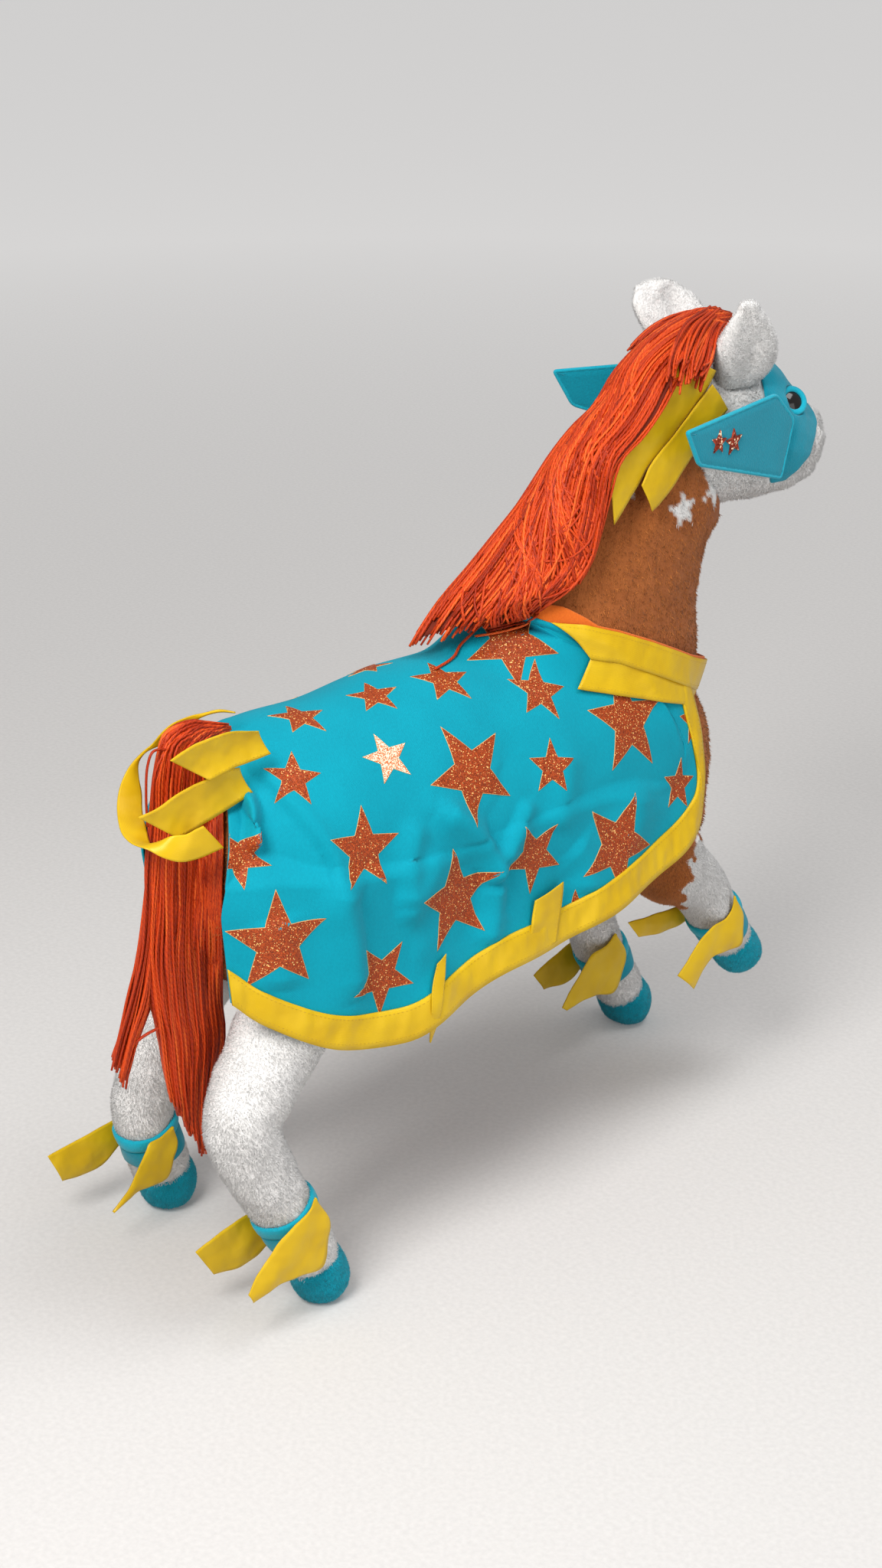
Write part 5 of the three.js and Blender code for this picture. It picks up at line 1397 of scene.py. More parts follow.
# The cuff: an upper felt band sewn over a wider lower one, by heights from its middle and lifts off the leg
CUFF = np.array([(12.5, 1.0), (12.4, 2.4), (11.4, 3.0), (8.6, 3.3), (5.2, 3.1), (3.6, 2.6), (3.2, 1.3), (2.9, 1.7),
                 (1.0, 2.0), (-4.0, 2.1), (-8.6, 2.0), (-11.6, 1.8), (-12.5, 1.0)])
CUFF_SEAM = 3.3
for name, (side, radius, cuff, path) in LEGS.items():
    body = "leg_" + name
    S = leg_stations(name)
    cut, cut_along = leg_place(S, HOOF_HEIGHT - S[-1, 3])
    skin = stuffed_object(f"leg_skin_{name}", S, 64, 110, 10)
    co = points_of(skin)
    ahead = (mm_of(co) - cut) @ cut_along
    # a soft groove where the hoof is sewn on, and a flat sole
    vn = normals_of(skin)
    groove = np.exp(-(ahead / 2.0) ** 2) * 0.0012
    swell = np.clip(ahead / 10, 0, 1) * 0.0009
    crease = np.zeros(len(co))
    if name == "hind_right":
        fold = seen(np.array([(331, 1438), (352, 1443), (372, 1446)], float), -62.0)
        for k in np.linspace(0, 1, 12):
            spot = spline(fold)(k)
            gap = np.linalg.norm(mm_of(co) - spot, axis=1)
            crease = np.maximum(crease, np.exp(-((gap - 2) / 3.0) ** 2) * (0.4 + 0.6 * k))
    co = co + vn * (swell - groove - crease * 0.0022 + wobble(co, 0.035, 61) * 0.0009)[:, None]
    co[:, 2] = np.maximum(co[:, 2], 0.0)
    move_points(skin, co)

    def patch_white(co, name=name):
        """Brown share at the top of a white leg, with a ragged edge."""
        return (above_line(name, co) + 4 * wobble(co, 0.016, 71) > 0).astype(float)

    tint_skin(skin, patch_white)
    dress(skin, [WHITE, HOOF], body)
    give_second(skin, (mm_of(face_middles(skin)) - cut) @ cut_along > 0)
    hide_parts("leg_" + name, "hoof_" + name)

    def cover_leg(m, _, cut=cut, cut_along=cut_along, top=S[0, 2] - 6):
        return (((mm_of(m) - cut) @ cut_along < 1.0) & (mm_of(m)[:, 2] < top)).astype(float)

    def cover_hoof(m, _, cut=cut, cut_along=cut_along):
        return (((mm_of(m) - cut) @ cut_along > 0.2) & (mm_of(m)[:, 2] > 2.5)).astype(float)

    fur = pile(f"leg_pile_{name}", skin, 62000, 2.3, down_nap, cover_leg, patch_white,
               lean=0.62, width=0.42, seed=52, spread=0.35, clump=0.15)
    dress(fur, WHITE, body)
    hoof = pile(f"hoof_pile_{name}", skin, 12000, 2.0, down_nap, cover_hoof, None,
                lean=0.45, width=0.45, seed=53, spread=0.5, clump=0.4)
    dress(hoof, HOOF, body)
    centre, along = leg_place(S, cuff * radius)
    rows, outs = band(tree_of(skin), centre, -along, *CUFF.T)
    shape = rows + outs * (wobble_grid(rows, 0.02, 81) * 0.4)[..., None]
    inner = rows - outs * (CUFF[:, 1] - 0.5)[:, None, None]
    obj = closed_object(f"cuff_felt_{name}", *shell(metres(shape), metres(inner), True))
    # the cuff's raised upper band takes the lighter felt, a painted highlight; the lower band takes the plain felt
    dress(obj, [FELT_EDGE_HIGHLIGHT, FELT], body)
    give_second(obj, (mm_of(face_middles(obj)) - centre) @ -along < CUFF_SEAM)
    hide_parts("cuff_" + name)

# Ribbons on the cuffs, by the edges that the photo shows, from the cuff to the ends
LEG_RIBBONS = {
    "hind_right": {
        "outer": ([(410, 1563), (405, 1580), (384, 1601.5), (365.5, 1622.5), (351.5, 1645), (337.5, 1667.5),
                   (324, 1691.5)],
                  [(411.5, 1564), (431, 1594.5), (429, 1620), (421, 1654), (390, 1667.5), (357, 1683),
                   (330.5, 1701.5)]),
        "inner": ([(330, 1583), (301, 1600), (278.5, 1617), (255, 1635.5)],
                  [(352, 1622.5), (334.5, 1641), (312, 1654), (278.5, 1664)])},
    "hind_left": {
        "outer": ([(148, 1464), (116, 1481), (87.5, 1496.5), (62.5, 1510.5)],
                  [(154, 1497), (132.5, 1521.5), (107.5, 1534.5), (81.5, 1542.5)]),
        "inner": ([(225, 1471), (208.5, 1485), (195, 1493.5), (188.5, 1507.5), (180.5, 1524.5), (172, 1544),
                   (160.5, 1564), (147.5, 1583)],
                  [(226.5, 1471.5), (232, 1493.5), (226.5, 1513), (219.5, 1538.5), (194.5, 1550), (177.5, 1557),
                   (166.5, 1568), (149, 1584.5)])},
    "front_left": {
        "outer": ([(746, 1230), (727.5, 1247), (712, 1258.5), (696.5, 1274)],
                  [(757, 1266), (748, 1277.5), (738, 1284), (709.5, 1292)]),
        "inner": ([(804, 1219), (794, 1233), (773.5, 1246), (763.5, 1261), (753, 1281.5), (743, 1299.5), (735, 1317)],
                  [(804.5, 1220), (817, 1243.5), (813, 1269), (803, 1295.5), (776, 1300.5), (758, 1308.5),
                   (740, 1320)])},
    "front_right": {
        "outer": ([(958.5, 1169.5), (956, 1187), (949.5, 1200), (931.5, 1210), (919, 1223), (908.5, 1238),
                   (898.5, 1253.5), (886, 1275)],
                  [(959, 1170), (970, 1192), (970, 1212.5), (967, 1233), (949.5, 1242), (931.5, 1249.5),
                   (919, 1263.5), (907, 1292)]),
        "inner": ([(896, 1180), (870.5, 1189.5), (845, 1197.5), (820, 1205)],
                  [(899, 1200), (880.5, 1211.5), (860, 1219), (833.5, 1223.5)])},
}
TIED = 13.0  # how far an outer ribbon goes on, out of sight, to where it is tied
for name, (side, radius, cuff, path) in LEGS.items():
    S = leg_stations(name)
    centre = leg_place(S, cuff * radius)[0]
    gaps = np.linalg.norm(S[:, :3] - centre, axis=1)
    order = np.argsort(gaps)[:2]
    near = (S[order[0], 3] * gaps[order[1]] + S[order[1], 3] * gaps[order[0]]) / gaps[order].sum()
    for label, out in (("outer", side), ("inner", -side)):
        first, second = [np.array(e, float) for e in LEG_RIBBONS[name][label]]
        away = centre[0] + out * (near + 3.6 + np.linspace(0, 1, len(first)) * 2.5)
        edges = [seen(first, away), seen(second, away)]
        if out > 0:
            edges = [np.vstack([e[0] + unit(e[0] - e[1]) * TIED, e]) for e in edges]
        satin(f"satin_{label}_{name}", *edges, "leg_" + name, [f"ribbon_{label}_{name}"],
              sewn=False, ripple=0.9, bow=1.0, seed=91)

# Head, in its own frame: across to its left, forward, and up from the joint
AXIS = np.array([0.0, -REACH, HEAD_HEIGHT])
ACROSS = np.array([math.cos(HEAD_TURN), -math.sin(HEAD_TURN), 0.0])
FORWARD = np.array([-math.sin(HEAD_TURN), -math.cos(HEAD_TURN), 0.0])


def head_point(across, forward, up):
    return AXIS + ACROSS * across + FORWARD * forward + UP * up


HEAD = np.array([[*head_point(0, f * HEAD_LENGTH, u * HEAD_DEPTH), w * HEAD_WIDTH, d * HEAD_DEPTH, HEAD_LENGTH * 0.18]
                 for f, u, w, d in [[0.0, 0.525, 0.5, 0.5], [0.17, 0.525, 0.5, 0.495], [0.36, 0.465, 0.487, 0.45],
                                    [0.54, 0.4, 0.465, 0.37], [0.7, 0.36, 0.4, 0.295], [0.8, 0.345, 0.33, 0.23]]])
HEAD[0, 5] = HEAD_WIDTH / 2


def head_frame(co):
    """The way back: across, forward and up of places in metres."""
    d = mm_of(co) - AXIS
    return d @ ACROSS, d @ FORWARD, d[:, 2]


EYE_AT = [head_point(s * 0.33 * HEAD_WIDTH, 0.63 * HEAD_LENGTH, 0.66 * HEAD_DEPTH) for s in (-1, 1)]
head_skin = stuffed_object("head_skin", HEAD, 80, 90, 12, ACROSS, 0.6)
remeshed(head_skin, 0.0026, 10)
co, vn = points_of(head_skin), normals_of(head_skin)
a, f, u = head_frame(co)
push = wobble(co, 0.035, 101) * 0.0009
# mouth, nostrils and the seam down the middle of the nose
mouth = np.exp(-((u - (22 + 0.10 * (f - 60))) / 1.8) ** 2) * np.clip((f - 62) / 12, 0, 1)
push -= mouth * 0.0022
push += np.exp(-((u - (12 + 0.10 * (f - 60))) / 7) ** 2) * np.clip((f - 60) / 15, 0, 1) * 0.0012
for s in (-1, 1):
    push -= 0.0034 * np.exp(-(((a - s * 15) / 3.4) ** 2 + ((u - 50) / 4.6) ** 2)) * (f > 80)
    push += 0.0010 * np.exp(-((np.hypot((a - s * 15) / 1.1, u - 50) - 7.5) / 2.2) ** 2) * (f > 78)
    push += 0.0016 * np.exp(-(((f - 22) / 20) ** 2 + ((u - 34) / 22) ** 2)) * (a * s > 20)  # the cheek
push -= np.exp(-(a / 1.3) ** 2) * (u < 30) * (f > 20) * 0.0008
for e in EYE_AT:  # the skin is drawn in under each eye
    push -= 0.005 * np.exp(-(np.linalg.norm(mm_of(co) - e, axis=1) / 9.0) ** 4)
move_points(head_skin, co + vn * push[:, None])
tint_skin(head_skin)
dress(head_skin, WHITE, "head")
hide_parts("head")
# The outline of the mask on the side of the head, forward and up
MASK = [HEAD_LENGTH, HEAD_DEPTH] * np.array([(0.38, 1.1), (0.36, 0.75), (0.36, 0.36), (0.45, 0.2), (0.57, 0.2),
                                             (0.74, 0.33), (0.86, 0.5), (0.89, 0.62), (0.8, 1.1)])


def in_polygon(x, y, polygon):
    inside = np.zeros(len(x), bool)
    j = len(polygon) - 1
    for i in range(len(polygon)):
        (xi, yi), (xj, yj) = polygon[i], polygon[j]
        crossing = ((yi > y) != (yj > y)) & (x < (xj - xi) * (y - yi) / (yj - yi + 1e-12) + xi)
        inside ^= crossing
        j = i
    return inside


def head_cover(m, _):
    _, f, u = head_frame(m)
    neck = (u < 8) & (f < 45)
    return np.where(in_polygon(f, u, MASK) | neck, 0.0, 1.0)


head_nap = uneven_nap(-FORWARD * 0.9 + np.array([0, 0, -0.5]), 0.5, 0.025, 47)
fur = pile("head_pile", head_skin, 60000, 2.7, head_nap, head_cover, None,
           lean=0.6, width=0.46, seed=54, spread=0.4, clump=0.2)
dress(fur, WHITE, "head")

# Ears
EARS = {
    "right": [[0.36, 0.19, 0.84, 0.15, 0.085], [0.43, 0.2, 0.95, 0.21, 0.09], [0.5, 0.18, 1.07, 0.21, 0.075],
              [0.56, 0.155, 1.2, 0.14, 0.055], [0.595, 0.13, 1.29, 0.075, 0.04]],
    "left": [[0.36, 0.19, 0.84, 0.15, 0.085], [0.43, 0.19, 0.95, 0.215, 0.09], [0.5, 0.15, 1.07, 0.24, 0.075],
             [0.56, 0.105, 1.165, 0.22, 0.055], [0.595, 0.075, 1.225, 0.16, 0.04]],
}
for label, side in (("right", -1), ("left", 1)):
    S = np.array([[*head_point(side * x * HEAD_WIDTH, y * HEAD_LENGTH, z * HEAD_DEPTH),
                   w * HEAD_LENGTH, d * HEAD_LENGTH, HEAD_LENGTH * 0.06] for x, y, z, w, d in EARS[label]])
    ear = stuffed_object("ear_skin_" + label, S, 64, 60, 10, FORWARD)
    co, vn = points_of(ear), normals_of(ear)
    mid = metres(spline(S[:, :3])(np.linspace(0, 1, 80)))
    k = ((co[:, None] - mid) ** 2).sum(-1).argmin(1)
    t = k / 79.0
    width = ((co - mid[k]) @ FORWARD) * 1000
    out = vn @ unit(ACROSS * side * 0.8 + np.array([0, 0.35, 0.0]))
    inside, outside = np.clip(-out * 3, 0, 1), np.clip(out * 3, 0, 1)
    cup = np.exp(-(width / 10.0) ** 2) * np.sin(np.pi * np.clip(t * 0.9 + 0.08, 0, 1))
    push = -cup * inside * 0.0058 - cup * outside * 0.0030 + wobble(co, 0.025, 111) * 0.0007
    move_points(ear, co + vn * push[:, None])
    tint_skin(ear)
    dress(ear, WHITE, "head")
    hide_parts("ear_" + label)
    fur = pile("ear_pile_" + label, ear, 20000, 2.8, uneven_nap([0.0, 0.2, 1.0], 0.6, 0.02, 47), None, None,
               lean=0.5, width=0.45, seed=55, spread=0.6, clump=0.5)
    dress(fur, WHITE, "head")

# Eyes
for label, e in zip(("right", "left"), EYE_AT):
    out = unit(e - (AXIS + FORWARD * 0.63 * HEAD_LENGTH + np.array([0, 0, 0.5 * HEAD_DEPTH])))
    x = unit(np.cross(out, UP))
    y = np.cross(out, x)
    angle = 2 * np.pi * np.arange(40) / 40

    def eye_ring(r, h, e=e, out=out, x=x, y=y):
        return e + out * h + np.outer(np.cos(angle) * r, x) + np.outer(np.sin(angle) * r, y)

    turns = np.linspace(0.03, 0.62, 14) * np.pi
    points, faces = closed_tube([eye_ring(9.0 * math.sin(p), 5.0 * math.cos(p) - 3.4) for p in turns])
    eye = closed_object("eye_dome_" + label, metres(points), faces)
    dress(eye, EYE, "head")
    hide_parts("eye_" + label)
    # the rolled edge of the felt round the eye, in the lighter felt that paints its highlight
    turns = np.linspace(0, 2 * np.pi, 12, endpoint=False)
    points = np.vstack([eye_ring(8.0 + 2.0 * math.cos(p), 0.2 + 1.5 * math.sin(p)) for p in turns])
    rim = closed_object("eye_rim_" + label, metres(points), grid_faces(13, 40, 0, True) % len(points))
    dress(rim, FELT_EDGE_HIGHLIGHT, "head")

# Mask: felt that follows the face
mask_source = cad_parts["mask"]
mask = bpy.data.objects.new("mask_felt", mask_source.data.copy())
bpy.context.scene.collection.objects.link(mask)
remeshed(mask, 0.0008, 30)
co, vn = points_of(mask), normals_of(mask)
move_points(mask, co + vn * (wobble(co, 0.02, 121) * 0.0003 + 0.0003)[:, None])
dress(mask, FELT, "head")
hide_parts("mask")

# Side flaps: felt over a stiff core, with a piped edge in the lighter felt that paints its highlight
FLAP_LENGTH = 116.0
FLAP = np.array([(0, 0.6), (0.185, 0.785), (1, 0.735), (0.88, 0.51), (0.1, 0.255)]) * [FLAP_LENGTH, HEAD_DEPTH]
SLOPE = math.atan(0.389)


def rounded(corners, radius, cuts=6):
    """An outline with its corners cut round."""
    made = []
    for i, corner in enumerate(corners):
        before, after = corners[i - 1], corners[(i + 1) % len(corners)]
        a = corner + unit(before - corner) * radius
        b = corner + unit(after - corner) * radius
        for k in range(cuts + 1):
            s = k / cuts
            made.append((1 - s) ** 2 * a + 2 * s * (1 - s) * corner + s ** 2 * b)
    return np.array(made)


def resampled(outline, count):
    """So many points evenly along an outline."""
    closed = np.vstack([outline, outline[:1]])
    run = run_of(closed)
    s = np.linspace(0, run[-1], count, endpoint=False)
    return np.stack([np.interp(s, run, closed[:, i]) for i in range(2)], -1)


def inset(outline, distance):
    """An outline moved inwards."""
    tangent = unit(np.roll(outline, -1, 0) - np.roll(outline, 1, 0))
    n = np.c_[-tangent[:, 1], tangent[:, 0]]
    middle = outline.mean(0)
    if ((middle - outline[0]) @ n[0]) < 0:
        n = -n
    return outline + n * distance


for label, side in (("right", -1), ("left", 1)):
    hinge = head_point(side * 0.506 * HEAD_WIDTH, 0.545 * HEAD_LENGTH, 0)
    backward = -FORWARD * math.cos(SLOPE) + ACROSS * side * math.sin(SLOPE)
    face = np.cross(backward, UP)
    out = face if face @ ACROSS * side > 0 else -face
    outline = resampled(rounded(FLAP, 4.0), 180)
    profile = [(0.0, 0.0), (0.12, 0.7), (0.45, 1.25), (0.95, 1.58), (1.45, 1.6), (1.9, 1.4), (2.3, 1.2), (2.8, 1.3)]
    profile += [(share, 1.3 + 0.2 * (1 - share)) for share in (-0.93, -0.8, -0.62, -0.42, -0.2)]
    grids = []
    for sign in (1, -1):
        grid = []
        for inward, high in profile:
            ring = inset(outline, inward if inward >= 0 else 2.8)
            if inward < 0:
                ring = outline.mean(0) + (ring - outline.mean(0)) * -inward
            grid.append([hinge + backward * p[0] + UP * p[1] + out * sign * high for p in ring])
        grids.append(np.array(grid))
    points, faces = closed_tube(np.concatenate([grids[1][::-1], grids[0][1:]]))
    obj = closed_object("flap_felt_" + label, metres(points), faces)
    dress(obj, [FELT, FELT_EDGE_HIGHLIGHT], "flap_" + label)
    d = mm_of(face_middles(obj)) - hinge
    give_second(obj, ~in_polygon(d @ backward, d[:, 2], inset(outline, 2.1)))
    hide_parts("flap_" + label)
    # stars on the flap: raised facets with a rim
    for gem, along, up, size, turn in (("rear", 0.72, 0.615, 8.0, 0.12), ("front", 0.585, 0.59, 9.0, -0.05)):
        centre = hinge + backward * along * FLAP_LENGTH + np.array([0, 0, up * HEAD_DEPTH]) + out * 1.7
        corners = []
        for i in range(10):
            r, a = size * (0.44 if i % 2 else 1.0), math.pi / 2 + math.pi * i / 5 + turn
            corners.append(backward * r * math.cos(a) + UP * r * math.sin(a))
        # the foot, the edge, the crest of the rim and the well inside it, and the tip in the middle
        rings = [centre + np.array(corners) * share + out * high
                 for share, high in ((1, 0), (0.96, 0.9), (0.80, 1.0), (0.72, 0.75))]
        i = np.arange(10)
        tris = np.c_[30 + i, 30 + (i + 1) % 10, np.full(10, 40)]
        star = closed_object(f"flap_star_{gem}_{label}", metres(np.vstack([*rings, centre + out * 1.7])),
                             [grid_faces(4, 10, around=True), tris], smooth=False)
        dress(star, GEM, "flap_" + label)
        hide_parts(f"star_{gem}_{label}")

# Collar: an orange felt ring with two satin bands sewn over it, by the edges that the photo shows on the right
OVER_WALL = soft_wall(np.maximum(BARE_WALL, wall_radii(rug_tree, 0.6)), 4)
OVER_EDGES = ring_edges(OVER_WALL)


def collar_band(name, top, low, ends, lift, thick, materials, node_name, seed):
    """A band round the neck between two edges, out to the turns at its ends, or all the way round without them."""
    wall = OVER_WALL if ends else BARE_WALL
    columns, levels = 190, 9
    w = np.linspace(0, 1, levels)[:, None]
    reach = ends or (math.pi, math.pi)
    turn = np.linspace(-1, 1, columns)[None] * (reach[0] * (1 - w) + reach[1] * w)
    height = top(turn) * (1 - w) + low(turn) * w
    wave = wobble_grid(ring_place(turn, height, 0 * turn, wall), 0.03, seed)
    out = ring_way(turn)
    outer = ring_place(turn, height, lift + 0.35 * np.sin(np.pi * w) + 0.5 * wave, wall)
    rows = [(metres(outer[k] + out[k] * 0.05), out[k]) for k in (1, levels - 2)] if ends else []
    uv = np.stack(np.broadcast_arrays(w * 0.018, run_of(outer[0])[None, :] * 0.001), -1).reshape(-1, 2)
    strip(name, metres(outer), metres(outer - out * thick), uv, stitches(rows, 1.6, 1.1, 0.32), "body", [node_name],
          materials)


top_end, middle_end, low_end = [OVER_EDGES[k][-1, 0] for k in ("top", "middle", "low")]


def lining_top(turn):
    return np.where(np.abs(turn) > EDGES["lining"][0, 0], edge_height("lining", turn), edge_height("top", turn) + 1.2)


def lining_low(turn):
    return edge_height("top", turn) - np.where(np.abs(turn) > top_end - 0.2, 3.0, 10.0)


def over_edge(which, lift=0.0):
    return lambda turn: edge_height(which, turn, OVER_EDGES) + lift


collar_band("collar_felt", lining_top, lining_low, None, -1.2, 1.2, [ORANGE], "collar_lining", 131)
collar_band("collar_satin_lower", over_edge("middle", 2.5), over_edge("low"), (middle_end, low_end), 0.6, 0.6,
            [SATIN, THREAD], "collar_band_lower", 133)
collar_band("collar_satin_upper", over_edge("top"), over_edge("middle"), (top_end, middle_end), 1.5, 0.6,
            [SATIN, THREAD], "collar_band_upper", 132)


# Mane: yarn sewn along the crest from the poll to the withers, falling to the right, by its outline in the photo
CREST = [(952, 411), (928, 400), (900, 407), (860, 432), (830, 457), (800, 496), (782, 529), (749, 560), (717, 604),
         (685, 654), (647, 701), (614, 742), (579, 783), (553, 824), (536, 850)]
UNDER = [(953, 420), (930, 440), (902, 470), (876, 498), (855, 540), (841, 560), (823, 581), (811, 592), (798, 620),
         (794, 650), (787, 683), (776, 724), (764, 751), (744, 771), (723, 779), (710, 788), (704, 804)]
UNDER_X = [-12, -24, -38, -46, -48, -48, -48, -48, -47, -46, -46, -46, -45, -43, -40, -36, -32]


def even_line(points):
    """A smooth line through points, as a function of the share of its length."""
    dense = spline(points)(np.linspace(0, 1, 500))
    run = run_of(dense)
    return lambda t: np.stack([np.interp(np.asarray(t) * run[-1], run, dense[:, i]) for i in range(3)], -1)


crest_line, under_line = even_line(seen(CREST, 0.0)), even_line(seen(UNDER, UNDER_X))
MANE_OUT = np.array([-0.6, 0.45, 0.65])


def mane_at(t, lane, lift):
    """A place on the mane: t from the poll to the withers, lane from the crest at 0 to the lower edge at 1."""
    t, lane, lift = np.broadcast_arrays(np.asarray(t, float), np.asarray(lane, float), np.asarray(lift, float))
    k, l = crest_line(np.clip(t, 0, 1)), under_line(np.clip(t, 0, 1))
    along = crest_line(np.clip(t + 0.02, 0, 1)) - crest_line(np.clip(t - 0.02, 0, 1))
    n = unit(np.cross(along, l - k))
    n = n * np.sign(n @ MANE_OUT)[..., None]
    over = np.clip(lane, 0, None)
    left = np.clip(-lane, 0, None)
    bulge = 9.0 * np.sin(np.pi * np.clip(over, 0, 1)) ** 0.8 * np.clip(t * 4, 0.35, 1)
    past = np.clip(t - 1, 0, None)[..., None] * np.array([0.0, 160.0, -60.0])
    return (k + (l - k) * over[..., None] + n * (bulge + lift)[..., None] + past
            + left[..., None] * np.array([80.0, 0.0, -60.0]))


rng = np.random.default_rng(141)
mane_all = []
lock_shift = rng.normal(0, 0.022, (24, 3))


def mane_strand(t0, t1, lane0, lane1, depth, bend=1.3, count=13):
    """A strand from one place and lane of the mane to another, a little uneven, as the others of its lock are."""
    s = np.linspace(0, 1, count)
    lock = lock_shift[int(np.clip((lane0 * 0.4 + lane1 * 0.6) * 20, 0, 19)) + int(rng.integers(0, 4))]
    lane = lane0 + (lane1 - lane0) * s ** bend + lock[0] * np.sin(np.pi * s) + rng.normal(0, 0.006)
    lane = lane + 0.010 * np.sin(s * rng.uniform(4, 10) + rng.uniform(0, 6))
    level = depth + lock[1] * 40 * np.sin(np.pi * s) + 0.5 * np.sin(s * rng.uniform(4, 9) + rng.uniform(0, 6))
    return mane_at(t0 + (t1 - t0) * s, lane, np.minimum(level, 1.0))


for k in range(190):
    lane = (k + rng.uniform(-0.4, 0.4)) / 190 * 1.12 - 0.10
    mane_all.append(mane_strand(rng.uniform(0.0, 0.05), rng.uniform(0.86, 1.0), lane * 0.9 + 0.02, lane,
                                rng.uniform(-2.5, 0.3)))
for _ in range(14):  # locks that cross the others on their way to the lower edge
    t0, run = rng.uniform(0.04, 0.66), rng.uniform(0.28, 0.5)
    first, last = rng.uniform(-0.02, 0.35), rng.uniform(0.45, 0.98)
    for _ in range(12):
        mane_all.append(mane_strand(t0 + rng.normal(0, 0.015), min(t0 + run + rng.normal(0, 0.03), 1.0),
                                    first + rng.normal(0, 0.02), last + rng.normal(0, 0.035),
                                    rng.uniform(-1.2, 0.9), 1.5))
for k in range(110):
    lane = (k + rng.uniform(-0.4, 0.4)) / 110
    mane_all.append(mane_strand(rng.uniform(0.0, 0.1), rng.uniform(0.9, 1.0), lane, lane, rng.uniform(-6.2, -4.4)))
# short cut ends that fall over the rear ribbon
for k in range(44):
    u = (k + rng.uniform(-0.4, 0.4)) / 44
    route = np.array([(925 + 30 * u, 402 + 12 * u), (894 + 44 * u, 428 + 10 * u), (877 + 52 * u, 464 + 8 * u),
                      (872 + 50 * u, 496 + rng.normal(0, 8))]) + rng.normal(0, 2.0, (4, 2))
    mane_all.append(seen(route, np.array([-2.0, -28.0, -44.0, -51.0]) + rng.uniform(-3.0, 1.5)))
# a dark sheet under the outer strands fills the gaps between them with painted shade
core_t, core_lane = np.meshgrid(np.linspace(0.02, 0.97, 60), np.linspace(-0.05, 0.97, 24), indexing="ij")
shade_sheet = closed_object("mane_shade_sheet", *shell(*[metres(mane_at(core_t, core_lane, depth)) for depth in (-2.8, -4.2)]))
dress(shade_sheet, YARN_SHADOW, None)
# single strands and loops that stand out at the lower edge
LOOSE = [
    ([(798, 604), (786, 648), (784, 683), (776, 724), (764, 751), (744, 768), (723, 778), (709, 782)], -49),
    ([(790, 640), (780, 676), (770, 706), (752, 724), (735, 732), (707, 733)], -50),
    ([(694, 671), (688, 689), (692, 712), (695, 736), (702, 762), (705, 783), (702, 803), (688, 815), (664, 823),
      (641, 828), (620, 831)], -44),
    ([(705, 665), (696, 690), (699, 716), (703, 745), (708, 770), (707, 792), (697, 808), (668, 817), (640, 824)], -45),
    ([(661, 698), (660, 718), (664, 742), (676, 762), (682, 783), (676, 803), (664, 815)], -42),
    ([(672, 690), (668, 715), (674, 742), (688, 765), (692, 785), (684, 804), (660, 816), (636, 821)], -43),
    ([(629, 721), (617, 742), (607, 765), (603, 789), (606, 809), (616, 820), (625, 809), (629, 792), (633, 765),
      (641, 736)], -34),
    ([(640, 716), (628, 742), (622, 768), (620, 790), (626, 808), (640, 812), (650, 796), (655, 770)], -36),
    ([(647, 803), (626, 818), (616, 828), (601, 843), (594, 856), (585, 864), (568, 874)], -30),
    ([(770, 640), (760, 668), (742, 690), (720, 700), (700, 712), (684, 735)], -50),
    ([(758, 660), (740, 684), (716, 704), (700, 728), (694, 752)], -50),
]
mane_bed = [tree_of(shade_sheet), rug_tree, neck_tree]
for route, x in LOOSE:
    mane_all.append(resting(route, x, mane_bed, 3.2))
mane = strands("mane_yarn", mane_all, 0.88, 5, 144, 38)
dress(mane, YARN, None)
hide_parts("mane")
for o in (mane, shade_sheet):
    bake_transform(o)

# Tail: strands from under the rug bend down, and part into a main lock and a wisp, by their outlines in the photo
TAIL_X = -16.0
# Pixels of the main lock and of the wisp: down, and the left and right edge there
TAIL_ROWS = [
    (1000, 203, 289), (1100, 194, 290), (1180, 191, 287), (1260, 188, 288), (1300, 197, 288), (1342, 205, 293),
    (1390, 213, 287), (1430, 222, 277), (1500, 250, 271)]
WISP_ROWS = [
    (1000, 203, 215), (1100, 194, 208), (1180, 189, 206), (1260, 179, 204), (1300, 167, 200), (1340, 158, 188),
    (1380, 145, 172), (1440, 143, 160)]
TAIL_BACK = np.array([0.743, -0.669, 0.0])
rump_tree = tree_of(body_skin)
tail_paths = []


def tail_strand(rows, lane, depth, end, root):
    """A strand in a lane of a lock, from its root under the rug down to the pixel where it ends."""
    rows = np.array(rows, float)
    down = np.array([1000, 1060, 1120, 1180, 1240, 1300, 1350, 1400, 1450, 1500], float)
    down = np.concatenate([down[down < end - 12], [end]])
    left, right = np.interp(down, rows[:, 0], rows[:, 1]), np.interp(down, rows[:, 0], rows[:, 2])
    route = np.c_[left + (right - left) * (lane + 0.02 * np.sin(down / 70 + root * 6)), down]
    route[:, 0] += 1.6 * np.sin(down / rng.uniform(18, 40) + rng.uniform(0, 6)) * np.clip((down - 1000) / 100, 0, 1)
    top = [(297 - 6 * root, 950 + 6 * lane), (248 + 42 * lane, 944 + 20 * lane), (213 + 76 * lane, 960 + 24 * lane)]
    route = np.vstack([np.array(top) + rng.normal(0, 2.0, (3, 2)), route])
    share = np.concatenate([[0.15, 0.5, 0.85], np.ones(len(down))])
    # depth moves a strand through the lock along the camera's level sight
    places = seen(route, TAIL_X) + TAIL_BACK * (depth * share)[:, None]
    return in_front(in_front(places, rug_tree, 1.5), rump_tree, 4.5)


